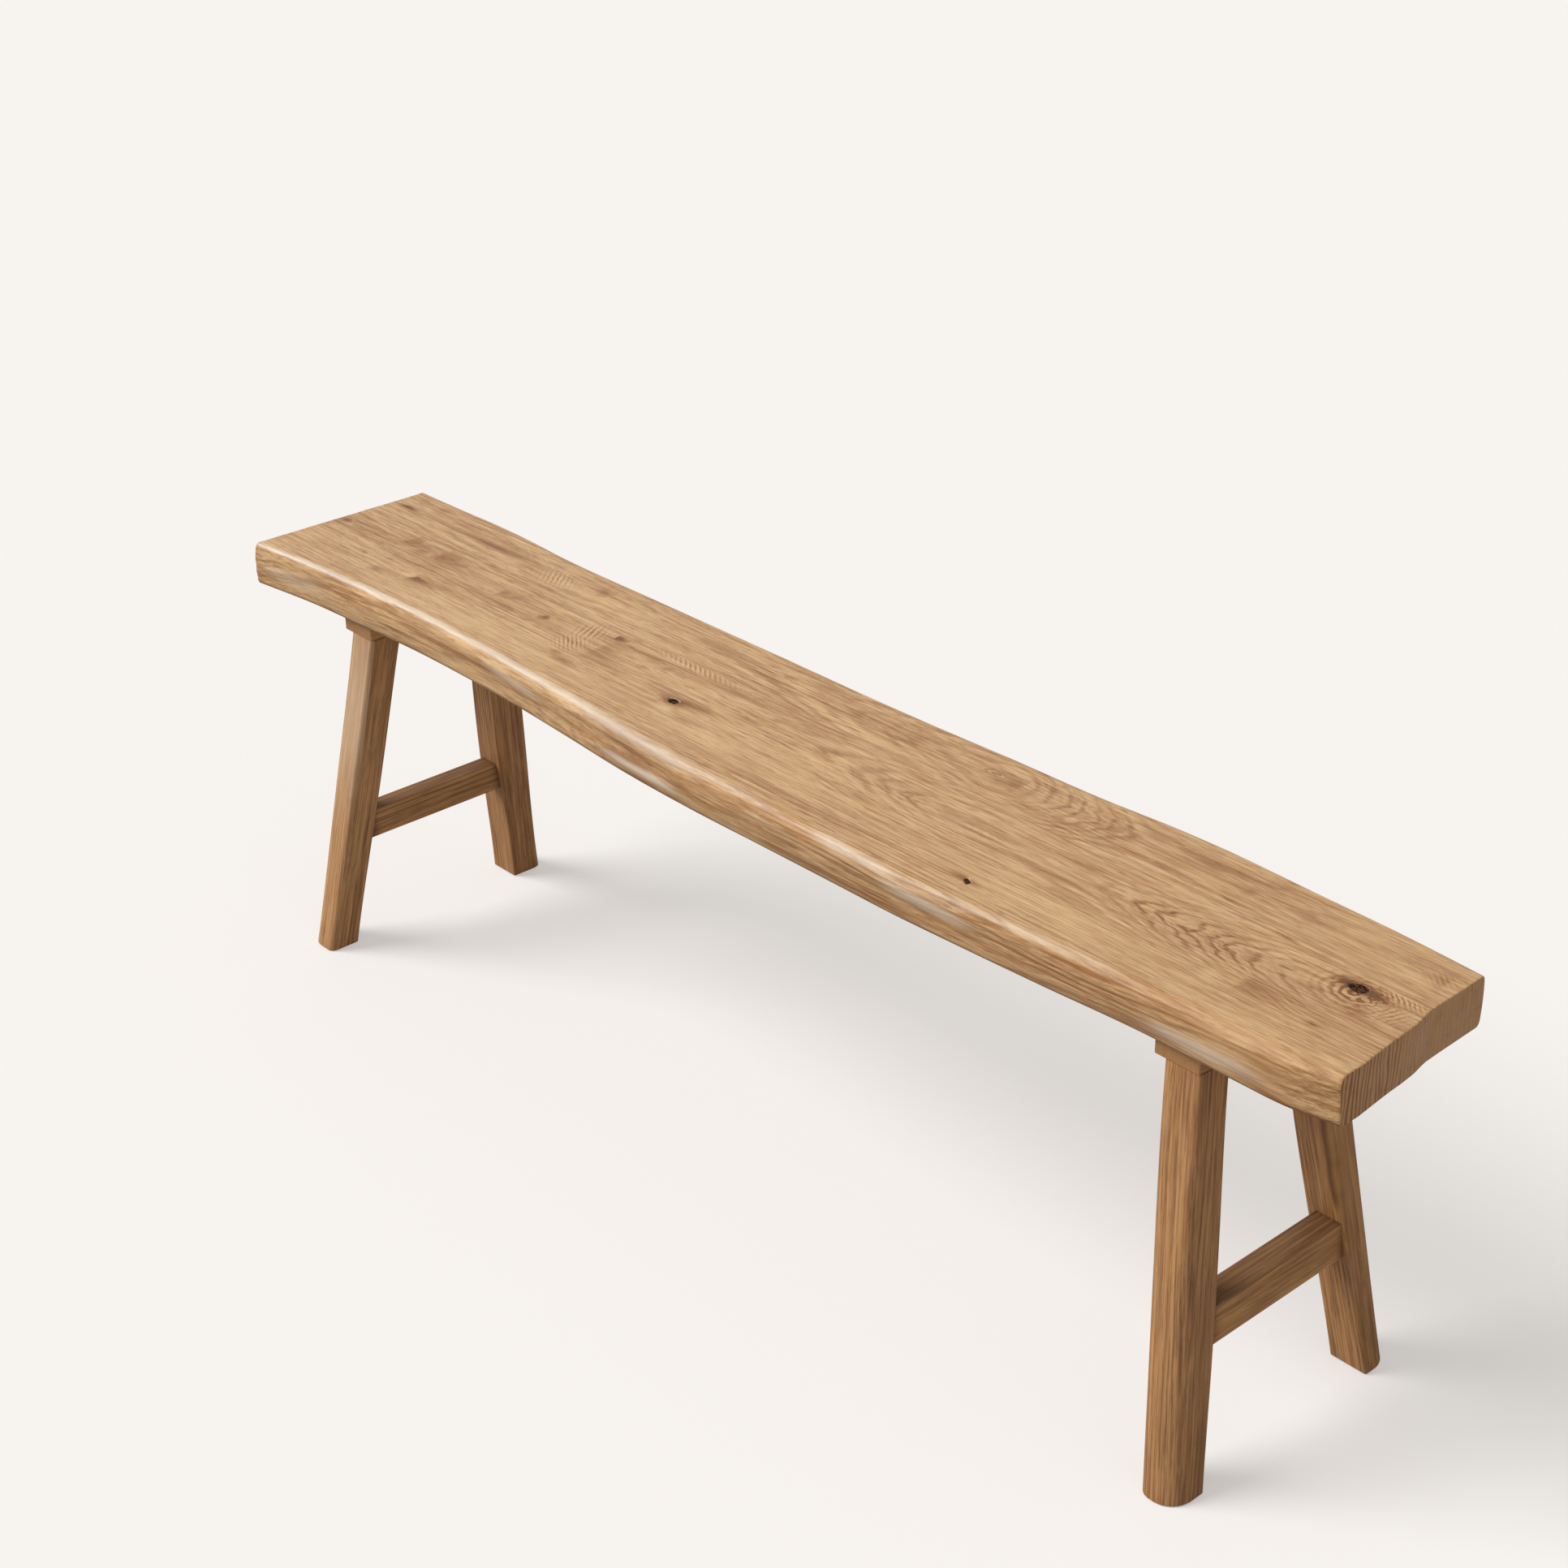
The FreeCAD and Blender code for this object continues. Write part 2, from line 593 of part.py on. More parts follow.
def leg_blank(name, side, across):
    """Loft a splayed leg from the floor to the batten and ease the edge of its sole."""
    sections = []
    worn = LEG_ROUND_SHARES[name]
    for share, inner_wave, outer_wave, drift in LEG_WAVE_SHARES[name]:
        near, far, inner, outer = leg_lines(side, across, share)
        inner += across * size("leg_wave") * inner_wave
        outer += across * size("leg_wave") * outer_wave
        shift = size("leg_wave") * drift
        rounds = [size("leg_worn_round") * (foot + (top - foot) * share)
                  for top, foot in zip(worn[:2], worn[2:])]
        sections.append(leg_section(batten_foot * share, near + shift, far + shift, inner, outer, rounds))
    blank = solid_of(Part.makeLoft(sections, True, False))
    sole = [edge for edge in blank.Edges if edge.BoundBox.ZMax < size("foot_ease")]
    return solid_of(blank.makeChamfer(size("foot_ease"), sole))


def leg_tenon(side, across):
    """Make the upright tenon on top of a leg, just short of the seat."""
    middle = leg_top_middle(side, across)
    half = Vector(size("leg_tenon_width") / 2, size("leg_tenon_depth") / 2, 0)
    rise = UP * (size("batten_thick") - size("joint_gap"))
    return block(middle - half, middle + half + rise)


def wedge_place(side, across):
    """Give the middle of a wedge's lower end, so that its head is level with the tenon's."""
    rise = size("batten_thick") - size("joint_gap") - size("wedge_height")
    return leg_top_middle(side, across) + UP * rise


def wedge_kerf(side, across):
    """Make the kerf for a wedge, open at the top and clear of it all round."""
    gap = size("joint_gap")
    half = size("leg_tenon_width") / 2 + size("overrun")
    spread = (size("wedge_head") - size("wedge_tip")) / 2 / size("wedge_height")
    low, high = -gap, size("wedge_height") + gap
    wide, narrow = [size("wedge_tip") / 2 + gap + spread * height for height in (high, low)]
    corners = ((-narrow, low), (narrow, low), (wide, high), (-wide, high), (-narrow, low))
    outline = Part.makePolygon([Vector(-half, y, z) for y, z in corners])
    return Part.Face(outline).extrude(Vector(2 * half, 0, 0)).translated(wedge_place(side, across))


def make_wedge():
    """Make one wedge, as long as a leg's tenon is wide and standing on its thin end."""
    body = new_body("wedge")
    tip, head, height = "sizes.wedge_tip / 2", "sizes.wedge_head / 2", "sizes.wedge_height"
    corners = ((f"-{tip}", "0"), (tip, "0"), (head, height), (f"-{head}", height))
    pad_outline(body, "wedge", corners, "YZ_Plane", "sizes.leg_tenon_width", both_ways=True)
    return body


def make_stretcher_bar(name):
    """Make a stretcher's bar with rounded long edges, long enough to run into both legs."""
    depth, thick = STRETCHER_SHARES[name]
    body = new_body(f"stretcher_bar_{name}")
    corners = rectangle(("0", "0"), f"sizes.stretcher_thick * {thick / 2}",
                        f"sizes.stretcher_depth * {depth / 2}")
    bar = pad_outline(body, f"stretcher_{name}", corners, "XZ_Plane",
                      "2 * (sizes.top_spread + sizes.foot_splay)", both_ways=True)
    rounded = body.newObject("PartDesign::Fillet", f"stretcher_rounded_{name}")
    rounded.Base = (bar, [f"Edge{index}" for index, edge in enumerate(bar.Shape.Edges, start=1)
                          if edge.BoundBox.YLength > size("top_spread")])
    bind(rounded, Radius="sizes.stretcher_round")
    doc.recompute()
    return body.Shape


def stretcher_middle(side):
    """Give the middle of a stretcher, which stands upright between its two leaning legs."""
    near, far, _, _ = leg_lines(side, FRONT, size("stretcher_height") / batten_foot)
    return Vector((near + far) / 2 + size("stretcher_shift"), 0, size("stretcher_height"))


def stretcher_tenon(side, across, gap, relief):
    """Make a stretcher's tenon into one leg, or with a gap and relief the mortise for it."""
    _, _, inner, _ = leg_lines(side, across, size("stretcher_height") / batten_foot)
    reach = abs(inner) - size("leg_wave") + size("stretcher_tenon_reach") + relief
    half = Vector(size("stretcher_tenon_thick") / 2 + gap, 0, size("stretcher_tenon_depth") / 2 + gap)
    ends = sorted((across * size("top_spread") / 2, across * reach))
    tenon = block(Vector(0, ends[0], 0) - half, Vector(0, ends[1], 0) + half)
    return tenon.translated(stretcher_middle(side))


def make_frame(name, side, wedge):
    """Make one end frame: two legs, their wedges and the stretcher between them."""
    gap = size("joint_gap")
    nodes = []
    rail = make_stretcher_bar(name).translated(stretcher_middle(side))
    for side_name, across in SIDES:
        blank = leg_blank(f"{side_name}_{name}", side, across)
        cuts = [stretcher_tenon(side, across, gap, size("relief")), wedge_kerf(side, across)]
        leg = blank.fuse(leg_tenon(side, across)).cut(cuts)
        nodes.append(add_feature(f"leg_{side_name}_{name}", solid_of(leg)))
        rail = rail.cut(blank.translated(Vector(0, -across * gap, 0)))
    middle = next(solid for solid in rail.Solids if abs(solid.CenterOfMass.y) < size("top_spread") / 2)
    tenons = [stretcher_tenon(side, across, 0, 0) for _, across in SIDES]
    nodes.append(add_feature(f"stretcher_{name}", solid_of(middle.fuse(tenons).removeSplitter())))
    places = [wedge_place(side, across) for _, across in SIDES]
    nodes.append(add_copies(f"leg_wedges_{name}", wedge.Shape, places))
    return nodes


def check_and_export(nodes):
    """Stop on anything broken, then write each sub-part to its own file."""
    doc.recompute()
    for item in doc.Objects:
        if {"Invalid", "Error"} & set(item.State):
            raise RuntimeError(f"{item.Label} failed to build")
    for node in nodes:
        if node.Shape.isNull() or not node.Shape.isValid() or not node.Shape.Volume > 0:
            raise RuntimeError(f"{node.Label} has no sound shape")
    os.makedirs("parts", exist_ok=True)
    for node in nodes:
        node.Shape.exportStep(f"parts/{node.Label}.step")
        box = node.Shape.BoundBox
        print(f"{node.Label}: {len(node.Shape.Solids)} solids, {node.Shape.Volume / 1000:.1f} cm3, "
              f"X {box.XMin:.1f} to {box.XMax:.1f}, Y {box.YMin:.1f} to {box.YMax:.1f}, "
              f"Z {box.ZMin:.1f} to {box.ZMax:.1f}")


parts = make_seat() + make_dowels() + make_screws()
wedge_body = make_wedge()
for end_name, end in ENDS:
    parts.append(make_batten(end_name, end))
    parts += make_frame(end_name, end, wedge_body)
check_and_export(parts)
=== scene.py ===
"""The looks of a live edge bench: an oiled oak seat with one natural edge, on two splayed frames.

Metres. X runs along the seat, Y from the live edge to the back, Z up from the floor.
"""
import logging
import math
from dataclasses import dataclass
from enum import Enum
from typing import Callable, Sequence, Union

import bmesh
import bpy
import numpy as np
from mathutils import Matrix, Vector


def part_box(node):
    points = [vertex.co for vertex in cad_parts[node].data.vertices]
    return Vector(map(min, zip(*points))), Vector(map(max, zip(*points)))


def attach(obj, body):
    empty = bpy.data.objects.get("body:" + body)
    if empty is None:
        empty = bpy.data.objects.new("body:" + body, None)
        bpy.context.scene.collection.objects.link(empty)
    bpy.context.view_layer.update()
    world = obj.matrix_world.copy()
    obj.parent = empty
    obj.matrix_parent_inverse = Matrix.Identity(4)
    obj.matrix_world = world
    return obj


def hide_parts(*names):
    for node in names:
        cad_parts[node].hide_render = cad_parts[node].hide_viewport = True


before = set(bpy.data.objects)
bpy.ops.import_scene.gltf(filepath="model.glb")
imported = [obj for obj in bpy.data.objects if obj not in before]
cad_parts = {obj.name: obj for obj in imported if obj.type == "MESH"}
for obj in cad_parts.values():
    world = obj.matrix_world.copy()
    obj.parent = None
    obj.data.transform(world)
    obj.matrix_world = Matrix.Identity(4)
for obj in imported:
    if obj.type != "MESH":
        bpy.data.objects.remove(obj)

LOG = logging.getLogger("bench")
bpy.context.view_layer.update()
Point = tuple[float, float, float]
Colour = tuple[float, float, float]
Value = Union["Socket", float, Sequence[float]]

SEAT_LENGTH = 1.470
SEAT_TOP = 0.450
SEAT_THICK = 0.048
CREASE = 32.0


class Grain(Enum):
    """The way the wood's fibres run in a piece: the axis they follow, then the two across it."""
    ALONG_SEAT = (0, 1, 2)
    ACROSS_SEAT = (1, 0, 2)
    UP_THE_LEG = (2, 0, 1)


def operator(operation: str, swapped: bool = False) -> Callable[..., "Socket"]:
    """Make the method behind one operator of the shader maths.

    Args:
        operation: the node's operation.
        swapped: whether the other value comes first.

    Returns:
        The method.
    """
    def method(self: "Socket", other: Value = 0.0) -> "Socket":
        """Work out the operation on this value and another."""
        return self.join(operation, other, self) if swapped else self.join(operation, self, other)
    return method


class Socket:
    """One output of a shader node, with the arithmetic that the finishes use."""

    __add__ = operator("ADD")
    __radd__ = operator("ADD", swapped=True)
    __sub__ = operator("SUBTRACT")
    __rsub__ = operator("SUBTRACT", swapped=True)
    __mul__ = operator("MULTIPLY")
    __rmul__ = operator("MULTIPLY", swapped=True)
    __truediv__ = operator("DIVIDE")
    __rtruediv__ = operator("DIVIDE", swapped=True)
    __abs__ = operator("ABSOLUTE")
    root = operator("SQRT")

    def __init__(self, net: "Net", source: bpy.types.NodeSocket) -> None:
        """Wrap an output of a net's node."""
        self.net = net
        self.source = source

    def join(self, operation: str, first: Value, second: Value) -> "Socket":
        """Add the Math node for one operation on two values."""
        return self.net.node("ShaderNodeMath", {"operation": operation}, {0: first, 1: second})

    def fade(self) -> "Socket":
        """Fall from 1 at zero towards 0, as a bell does when this is a squared distance."""
        return self.join("EXPONENT", self * -1.0, 0.0)

    def swing(self) -> "Socket":
        """Go up and down between 0 and 1, once for each whole number."""
        return self.join("PINGPONG", self, 0.5) * 2.0

    def ease(self, low: float, high: float) -> "Socket":
        """Rise smoothly from 0 at low to 1 at high."""
        sockets = {"Value": self, "From Min": low, "From Max": high}
        return self.net.node("ShaderNodeMapRange", {"interpolation_type": "SMOOTHSTEP"}, sockets)

    def blend(self, first: Value, second: Value) -> "Socket":
        """Mix two colours by this share of the second."""
        settings = {"data_type": "RGBA", "clamp_factor": True}
        return self.net.node("ShaderNodeMix", settings, {0: self, 6: first, 7: second}, out=2)

    def parts(self) -> tuple["Socket", "Socket", "Socket"]:
        """Split a vector into its three numbers."""
        node = self.net.node("ShaderNodeSeparateXYZ", {}, {"Vector": self}).source.node
        return tuple(Socket(self.net, node.outputs[index]) for index in range(3))


class Net:
    """The shader tree of one material."""

    def __init__(self, name: str) -> None:
        """Start an empty tree.

        Args:
            name: the material's name.
        """
        self.material = bpy.data.materials.new(name)
        self.material.use_nodes = True
        self.material.node_tree.nodes.clear()

    def node(self, kind: str, settings: dict[str, object], sockets: dict[Union[str, int], Value],
             out: Union[str, int] = 0) -> Socket:
        """Add one node.

        Args:
            kind: the node's type.
            settings: its own settings, or "stops" for a ramp: pairs of a place and a colour.
            sockets: the values or links of its inputs, by name or by number.
            out: the output to hand back.

        Returns:
            That output.
        """
        made = self.material.node_tree.nodes.new(kind)
        for name, value in settings.items():
            if name == "stops":
                self.fill_ramp(made.color_ramp, value)
            else:
                setattr(made, name, value)
        for key, value in sockets.items():
            if isinstance(value, Socket):
                self.material.node_tree.links.new(value.source, made.inputs[key])
            elif made.inputs[key].type == "RGBA":
                made.inputs[key].default_value = (*value[:3], 1.0)
            else:
                made.inputs[key].default_value = value
        return Socket(self, made.outputs[out])

    @staticmethod
    def fill_ramp(ramp: bpy.types.ColorRamp, stops: Sequence[tuple[float, Colour]]) -> None:
        """Give a ramp its stops.

        Args:
            ramp: the ramp.
            stops: pairs of a place from 0 to 1 and a colour.
        """
        ramp.interpolation = "B_SPLINE"
        while len(ramp.elements) < len(stops):
            ramp.elements.new(1.0)
        for element, (place, colour) in zip(ramp.elements, stops):
            element.position = place
            element.color = (*colour, 1.0)

    def place(self) -> Socket:
        """Give the point on the piece, in metres in the bench's own frame."""
        return self.node("ShaderNodeTexCoord", {}, {}, out="Object")

    def facing(self) -> Socket:
        """Give the direction that the surface faces."""
        return self.node("ShaderNodeTexCoord", {}, {}, out="Normal")

    def noise(self, x: Value, y: Value, z: Value, detail: float = 2.0, rough: float = 0.5,
              warp: float = 0.0) -> Socket:
        """Add soft random blots over three numbers, from about 0.2 to 0.8.

        Args:
            x: the first number, scaled so that one unit is about one blot.
            y: the second.
            z: the third.
            detail: how many finer layers are added.
            rough: how strong the finer layers are.
            warp: how much the blots are twisted.

        Returns:
            The blots.
        """
        where = self.node("ShaderNodeCombineXYZ", {}, {"X": x, "Y": y, "Z": z})
        sockets = {"Vector": where, "Scale": 1.0, "Detail": detail, "Roughness": rough,
                   "Distortion": warp}
        return self.node("ShaderNodeTexNoise", {"noise_dimensions": "3D"}, sockets, out="Fac")

    def speckle(self, fine: float, *layers: float) -> Socket:
        """Add random spots without a direction, by their number in a metre and the noise's layers."""
        return self.noise(*(part * fine for part in self.place().parts()), *layers)

    def finish(self, colour: Value, roughness: Value, height: Value, depth: float,
               metal: float = 0.0, specular: float = 0.5) -> bpy.types.Material:
        """Close the tree with a surface.

        Args:
            colour: its base colour.
            roughness: its roughness.
            height: its relief, from 0 to 1.
            depth: how deep that relief is, in metres.
            metal: 1 for a metal.
            specular: how strongly it reflects.

        Returns:
            The material.
        """
        bump = self.node("ShaderNodeBump", {}, {"Strength": 1.0, "Distance": depth, "Height": height})
        shader = self.node("ShaderNodeBsdfPrincipled", {}, {
            "Base Color": colour, "Roughness": roughness, "Metallic": metal, "Normal": bump,
            "Specular IOR Level": specular})
        self.node_output(shader)
        return self.material

    def node_output(self, shader: Socket) -> None:
        """Send a shader to the material's output."""
        made = self.material.node_tree.nodes.new("ShaderNodeOutputMaterial")
        self.material.node_tree.links.new(shader.source, made.inputs["Surface"])


@dataclass(frozen=True)
class Knot:
    """A knot or a patch of strayed grain, fading outwards.

    It stains the wood brown or pale, lifts the growth rings off their course, makes them bold, or
    has rings of its own. A sharp one stops short at its left, or below zero at its right.
    """
    x: float
    y: float
    reach_x: float
    reach_y: float
    brown: float = 0.0
    pale: float = 0.0
    lift: float = 0.0
    bold: float = 0.0
    rings: float = 0.0
    sharp: float = 0.0


@dataclass(frozen=True)
class Fleck:
    """A fan of strokes across the grain, where the wood was crumpled. Folded, it nests pointed arches."""
    x: float
    y: float
    reach_x: float
    reach_y: float
    pitch: float
    slant: float
    strength: float
    fold: bool = False


@dataclass(frozen=True)
class Gleam:
    """A long painted highlight on the live edge: a pale patch, also smoother than the rest."""
    x: float
    z: float
    reach_x: float
    reach_z: float
    strength: float
    slope: float = 0.0


@dataclass(frozen=True)
class Streak:
    """A dark line with orange wood beside it: its place across the fibres and where it fades in."""
    side: float
    rise: float
    low: float
    high: float
    reach: float = 0.006
    deep: float = 0.016


@dataclass(frozen=True)
class OakTones:
    """The colours of oiled oak: three for sound wood, two for its marks and one for painted highlights.
    """
    pale: Colour = (0.750, 0.498, 0.256)
    tan: Colour = (0.495, 0.280, 0.124)
    amber: Colour = (0.560, 0.290, 0.095)
    brown: Colour = (0.250, 0.090, 0.020)
    dark: Colour = (0.085, 0.034, 0.012)
    painted_highlight: Colour = (0.740, 0.635, 0.505)


@dataclass(frozen=True)
class OakFinish:
    """Oiled oak whose growth rings run through the solid, so that faces, edges and ends agree.

    The pith is the heart of the tree, given by its place across the fibres. Lean is the slope of the
    fibres and fall the way that the heart sinks along the seat, by stops from its left end. Ring is the
    width of a growth ring, wander how far the rings stray and figure how clearly they show. Stretch
    makes the marks of the fibres longer. Painted falloff darkens the seat towards its right end, as
    painted shade for light that falls off from the left; painted shade darkens a stretcher's top, where
    the seat shades it, and its ends beside the legs; and barky is for the live edge.
    """
    name: str
    grain: Grain
    pith_side: float
    pith_rise: float
    tones: OakTones = OakTones()
    ring: float = 0.0030
    lean: tuple[float, float] = (0.0, 0.0)
    wander: float = 0.004
    figure: float = 0.35
    fall: tuple[tuple[float, float], ...] = ()
    knots: tuple[Knot, ...] = ()
    flecks: tuple[Fleck, ...] = ()
    gleams: tuple[Gleam, ...] = ()
    streaks: tuple[Streak, ...] = ()
    end_pitch: float = 0.0052
    end_bold: float = 1.15
    end_darkest: float = -0.057
    cloudy: float = 0.35
    ticks: float = 1.0
    stretch: float = 1.4
    painted_falloff: float = 0.0
    painted_shade: float = 0.0
    barky: bool = False
    contrast: float = 1.0
    gloss: float = 0.42
    specular: float = 0.4
    depth: float = 0.0003
    seed: float = 0.0

    def build(self) -> bpy.types.Material:
        """Make the material."""
        return OakPainter(self).paint()


class OakPainter:
    """Paints an oak finish in layers, from the bare wood to the painted highlights of its edge."""

    def __init__(self, finish: OakFinish) -> None:
        """Find a point's place in the tree and on the seat, and the blots that several layers share.

        Args:
            finish: the finish to paint.
        """
        self.finish = finish
        self.colour: Value = finish.tones.tan
        self.net = Net(finish.name)
        self.axes = self.net.place().parts()
        self.normal = self.net.facing().parts()
        self.outward = self.normal[1] * -1.0
        self.share = self.axes[0] / SEAT_LENGTH + 0.5
        self.along, side, rise = (self.axes[index] for index in finish.grain.value)
        self.side = side - self.along * finish.lean[0]
        self.rise = rise - self.along * finish.lean[1]
        self.stains = {name: self.along * 0.0 for name in ("brown", "pale", "lift", "bold")}
        self.add_knots()
        self.radius = self.ring_radius()
        self.rings = (self.radius / finish.ring).swing().ease(0.35, 0.95)
        long = self.along * (7.0 / finish.stretch)
        deep = self.radius * 420.0 + finish.seed
        self.strand = self.net.noise(long, deep, self.side * 60.0, 3.0, 0.6)
        self.broad = self.blots(3.5, 46.0, 1, 3.0)
        self.cloud = self.blots(14.0, 60.0, 0, 4.0, 0.65, 0.5)
        self.fibre = self.blots(22.0 / finish.stretch, 640.0, 2, 3.0, 0.6)
        self.pore = self.blots(60.0, 1500.0, 2, 1.0, 0.4).ease(0.60, 0.72) * (0.3 + self.rings * 0.7)
        figure = self.net.noise(self.along * 9.0, self.side * 40.0, self.rise * 40.0 + 3.0, 1.0)
        self.figure = figure.ease(0.42, 0.68)
        self.lines = self.rings * (0.10 + self.figure * finish.figure + self.stains["bold"] * 0.8)
        self.roughness = (finish.gloss + (self.fibre - 0.5) * 0.22 + self.pore * 0.2
                          + (self.broad - 0.5) * 0.2)

    def blots(self, long: float, wide: float, shifted: int, *layers: float) -> Socket:
        """Add random blots that follow the fibres.

        Args:
            long: how many there are in a metre along the fibres.
            wide: how many there are in a metre across them.
            shifted: the axis on which the finish's seed moves them.
            layers: the detail, roughness and warp of the noise.

        Returns:
            The blots.
        """
        places = [self.along * long, self.side * wide, self.rise * wide]
        places[shifted] = places[shifted] + self.finish.seed
        return self.net.noise(*places, *layers)

    def lay(self, mask: Socket, over: Value) -> None:
        """Lay a colour over the layers below, as far as a mask tells."""
        self.colour = mask.blend(self.colour, over)

    def stain(self, bell: Socket, line: Socket, brown: float, pale: float) -> None:
        """Stain the lines of a patch brown and the wood between them pale."""
        self.stains["brown"] = bell * line * brown + self.stains["brown"]
        self.stains["pale"] = bell * (1.0 - line) * pale + self.stains["pale"]

    def add_knots(self) -> None:
        """Add up what all the knots and flecks do at a point."""
        x, y, z = self.axes
        ragged = (self.net.noise(x * 90.0, y * 160.0, z * 160.0, 3.0) - 0.5) * 0.010
        for knot in self.finish.knots:
            far_x = (x - knot.x + ragged) / knot.reach_x
            far_y = (y - knot.y + ragged * 0.5) / knot.reach_y
            square = far_x * far_x + far_y * far_y
            bell = square.fade()
            if knot.sharp:
                bell = bell * (far_x * knot.sharp).ease(-0.25, -0.05)
            for name in self.stains:
                if getattr(knot, name):
                    self.stains[name] = bell * getattr(knot, name) + self.stains[name]
            if knot.rings:
                line = (square.root() * knot.rings + ragged * 240.0).swing().ease(0.25, 0.85)
                self.stain(bell, line, 0.75, 0.6)
        for fleck in self.finish.flecks:
            far_x = (x - fleck.x) / fleck.reach_x
            far_y = (y - fleck.y) / fleck.reach_y
            across = abs(y - fleck.y) if fleck.fold else y
            place = x + across * fleck.slant + ragged * (4.5 if fleck.fold else 0.5)
            stroke = (place / fleck.pitch).swing().ease(0.25, 0.85)
            bell = (far_x * far_x + far_y * far_y).fade()
            self.stain(bell, stroke, fleck.strength * 0.5, fleck.strength * 0.9)

    def ring_radius(self) -> Socket:
        """Give a point's distance from the heart of the tree, strayed as real wood is.

        Returns:
            The distance.
        """
        finish = self.finish
        slow = self.blots(2.6, 9.0, 0) - 0.5
        quick = self.blots(26.0, 85.0, 2) - 0.5
        depth = self.rise - finish.pith_rise
        if finish.fall:
            stops = [(place, (level,) * 3) for place, level in finish.fall]
            ramp = self.net.node("ShaderNodeValToRGB", {"stops": stops}, {"Fac": self.share})
            level = self.net.node("ShaderNodeRGBToBW", {}, {"Color": ramp})
            depth = depth + (level * 0.1 - 0.04) * self.side.ease(-0.085, -0.050) + 0.04
        across = self.side - finish.pith_side + slow * finish.wander * 3.0
        radius = (across * across + depth * depth).root() + slow * finish.wander
        return radius + quick * (self.stains["bold"] * 0.005 + 0.0014) + self.stains["lift"]

    def lay_wood(self) -> None:
        """Lay the tones of the fibres, the growth lines, the stains and the pores."""
        finish, tones, fibre, stains = self.finish, self.finish.tones, self.fibre, self.stains
        streak = self.blots(6.0 / finish.stretch, 300.0, 0, 3.0, 0.6)
        tick = self.blots(60.0 / finish.stretch, 460.0, 2)
        blush = self.blots(20.0, 140.0, 1)
        gloss_line = (self.radius / finish.ring + 0.26).swing().ease(0.45, 1.0)
        spread = 0.09 / finish.contrast
        warm = self.strand * 0.32 + streak * 0.28 + self.broad * 0.2 + self.cloud * 0.2
        thin = (self.strand * 0.5 + streak * 0.5).ease(0.44, 0.31)
        self.lay(warm.ease(0.5 - spread, 0.5 + spread), tones.pale)
        self.lay(thin * (0.8 * finish.contrast), tones.brown)
        self.lay(self.cloud.ease(0.53, 0.70) * finish.cloudy, tones.brown)
        self.lay(self.lines, tones.brown)
        self.lay(gloss_line * stains["bold"] * 0.8, tones.pale)
        self.lay(blush.ease(0.52, 0.68) * 0.4, tones.amber)
        self.lay(tick.ease(0.56, 0.68) * (0.5 * finish.ticks), tones.brown)
        self.lay(tick.ease(0.44, 0.32) * (0.55 * finish.ticks), tones.pale)
        self.lay(fibre.ease(0.54, 0.38) * 0.45, tones.brown)
        self.lay(fibre.ease(0.54, 0.68) * 0.45, tones.pale)
        self.lay(stains["pale"] * 0.75, tones.pale)
        self.lay(stains["brown"] * 1.3, tones.brown)
        self.lay(stains["brown"].ease(0.5, 1.3) * 0.7, tones.dark)
        self.lay(self.pore * 0.4, tones.dark)
        # Painted shade: the seat darkens towards its right end, for light that falls off from the left.
        if finish.painted_falloff:
            self.lay(self.share * finish.painted_falloff, tones.brown)

    def lay_bark(self) -> None:
        """Lay the veins, the flames and the dark foot of the live edge, and painted shade on its
        shoulder, which is also made duller.
        """
        tones, seed = self.finish.tones, self.finish.seed
        flame = self.net.noise(self.along * 7.0, self.rise * 110.0, seed, 4.0, 0.6, 0.3)
        bend = self.net.noise(self.along * 3.0, self.rise * 26.0, seed + 4.0, 1.0, 0.5, 0.2)
        veins = (self.rise * 150.0 + bend * 7.0 + flame * 0.9).swing().ease(0.35, 0.95)
        face = self.outward.ease(0.35, 0.9)
        lined = self.axes[0].ease(-0.2, 0.45)
        calm = (1.0 - lined * 0.5) * face
        self.lay(calm * flame.ease(0.50, 0.66) * 0.6, tones.brown)
        self.lay(calm * flame.ease(0.48, 0.32) * 0.45, tones.pale)
        self.lay(face * veins * (0.4 + self.figure * 0.6) * (lined * 0.55 + 0.22), tones.brown)
        above_foot = self.axes[2] - (SEAT_TOP - SEAT_THICK)
        self.lay(face * above_foot.ease(0.0065, 0.0005) * 0.6, tones.dark)
        shoulder = self.outward.ease(0.10, 0.45) * self.outward.ease(0.95, 0.60)
        # Painted shade: the shoulder that faces the key lamp is darkened on the right half.
        self.lay(shoulder * self.axes[0].ease(0.35, 0.60) * 0.3, tones.tan)
        self.roughness = self.roughness + shoulder * self.axes[0].ease(0.20, 0.45) * 0.30

    def lay_painted_shade(self) -> None:
        """Lay painted shade on a stretcher: a darker top, where the seat shades it, and darker ends
        beside the legs.
        """
        # Painted shade: faces that look up are darkened, and so are the ends beside the legs.
        self.lay(self.normal[2].ease(0.3, 0.8) * self.finish.painted_shade, self.finish.tones.dark)
        self.lay(abs(self.axes[1]).ease(0.074, 0.092) * 0.7, self.finish.tones.dark)

    def lay_streak(self, streak: Streak) -> None:
        """Lay one dark line along the fibres, and the orange wood beside it.

        Args:
            streak: the line.
        """
        bend = (self.net.noise(self.along * 16.0, self.finish.seed, 0.0, 3.0, 0.6) - 0.5) * 0.008
        far = (self.side - streak.side + bend) / streak.reach
        deep = (self.rise - streak.rise) / streak.deep
        mark = (far * far + deep * deep).fade() * self.along.ease(streak.low, streak.high)
        self.lay(mark * 0.7, self.finish.tones.amber)
        self.lay(mark.ease(0.40, 0.90) * 0.75, self.finish.tones.dark)

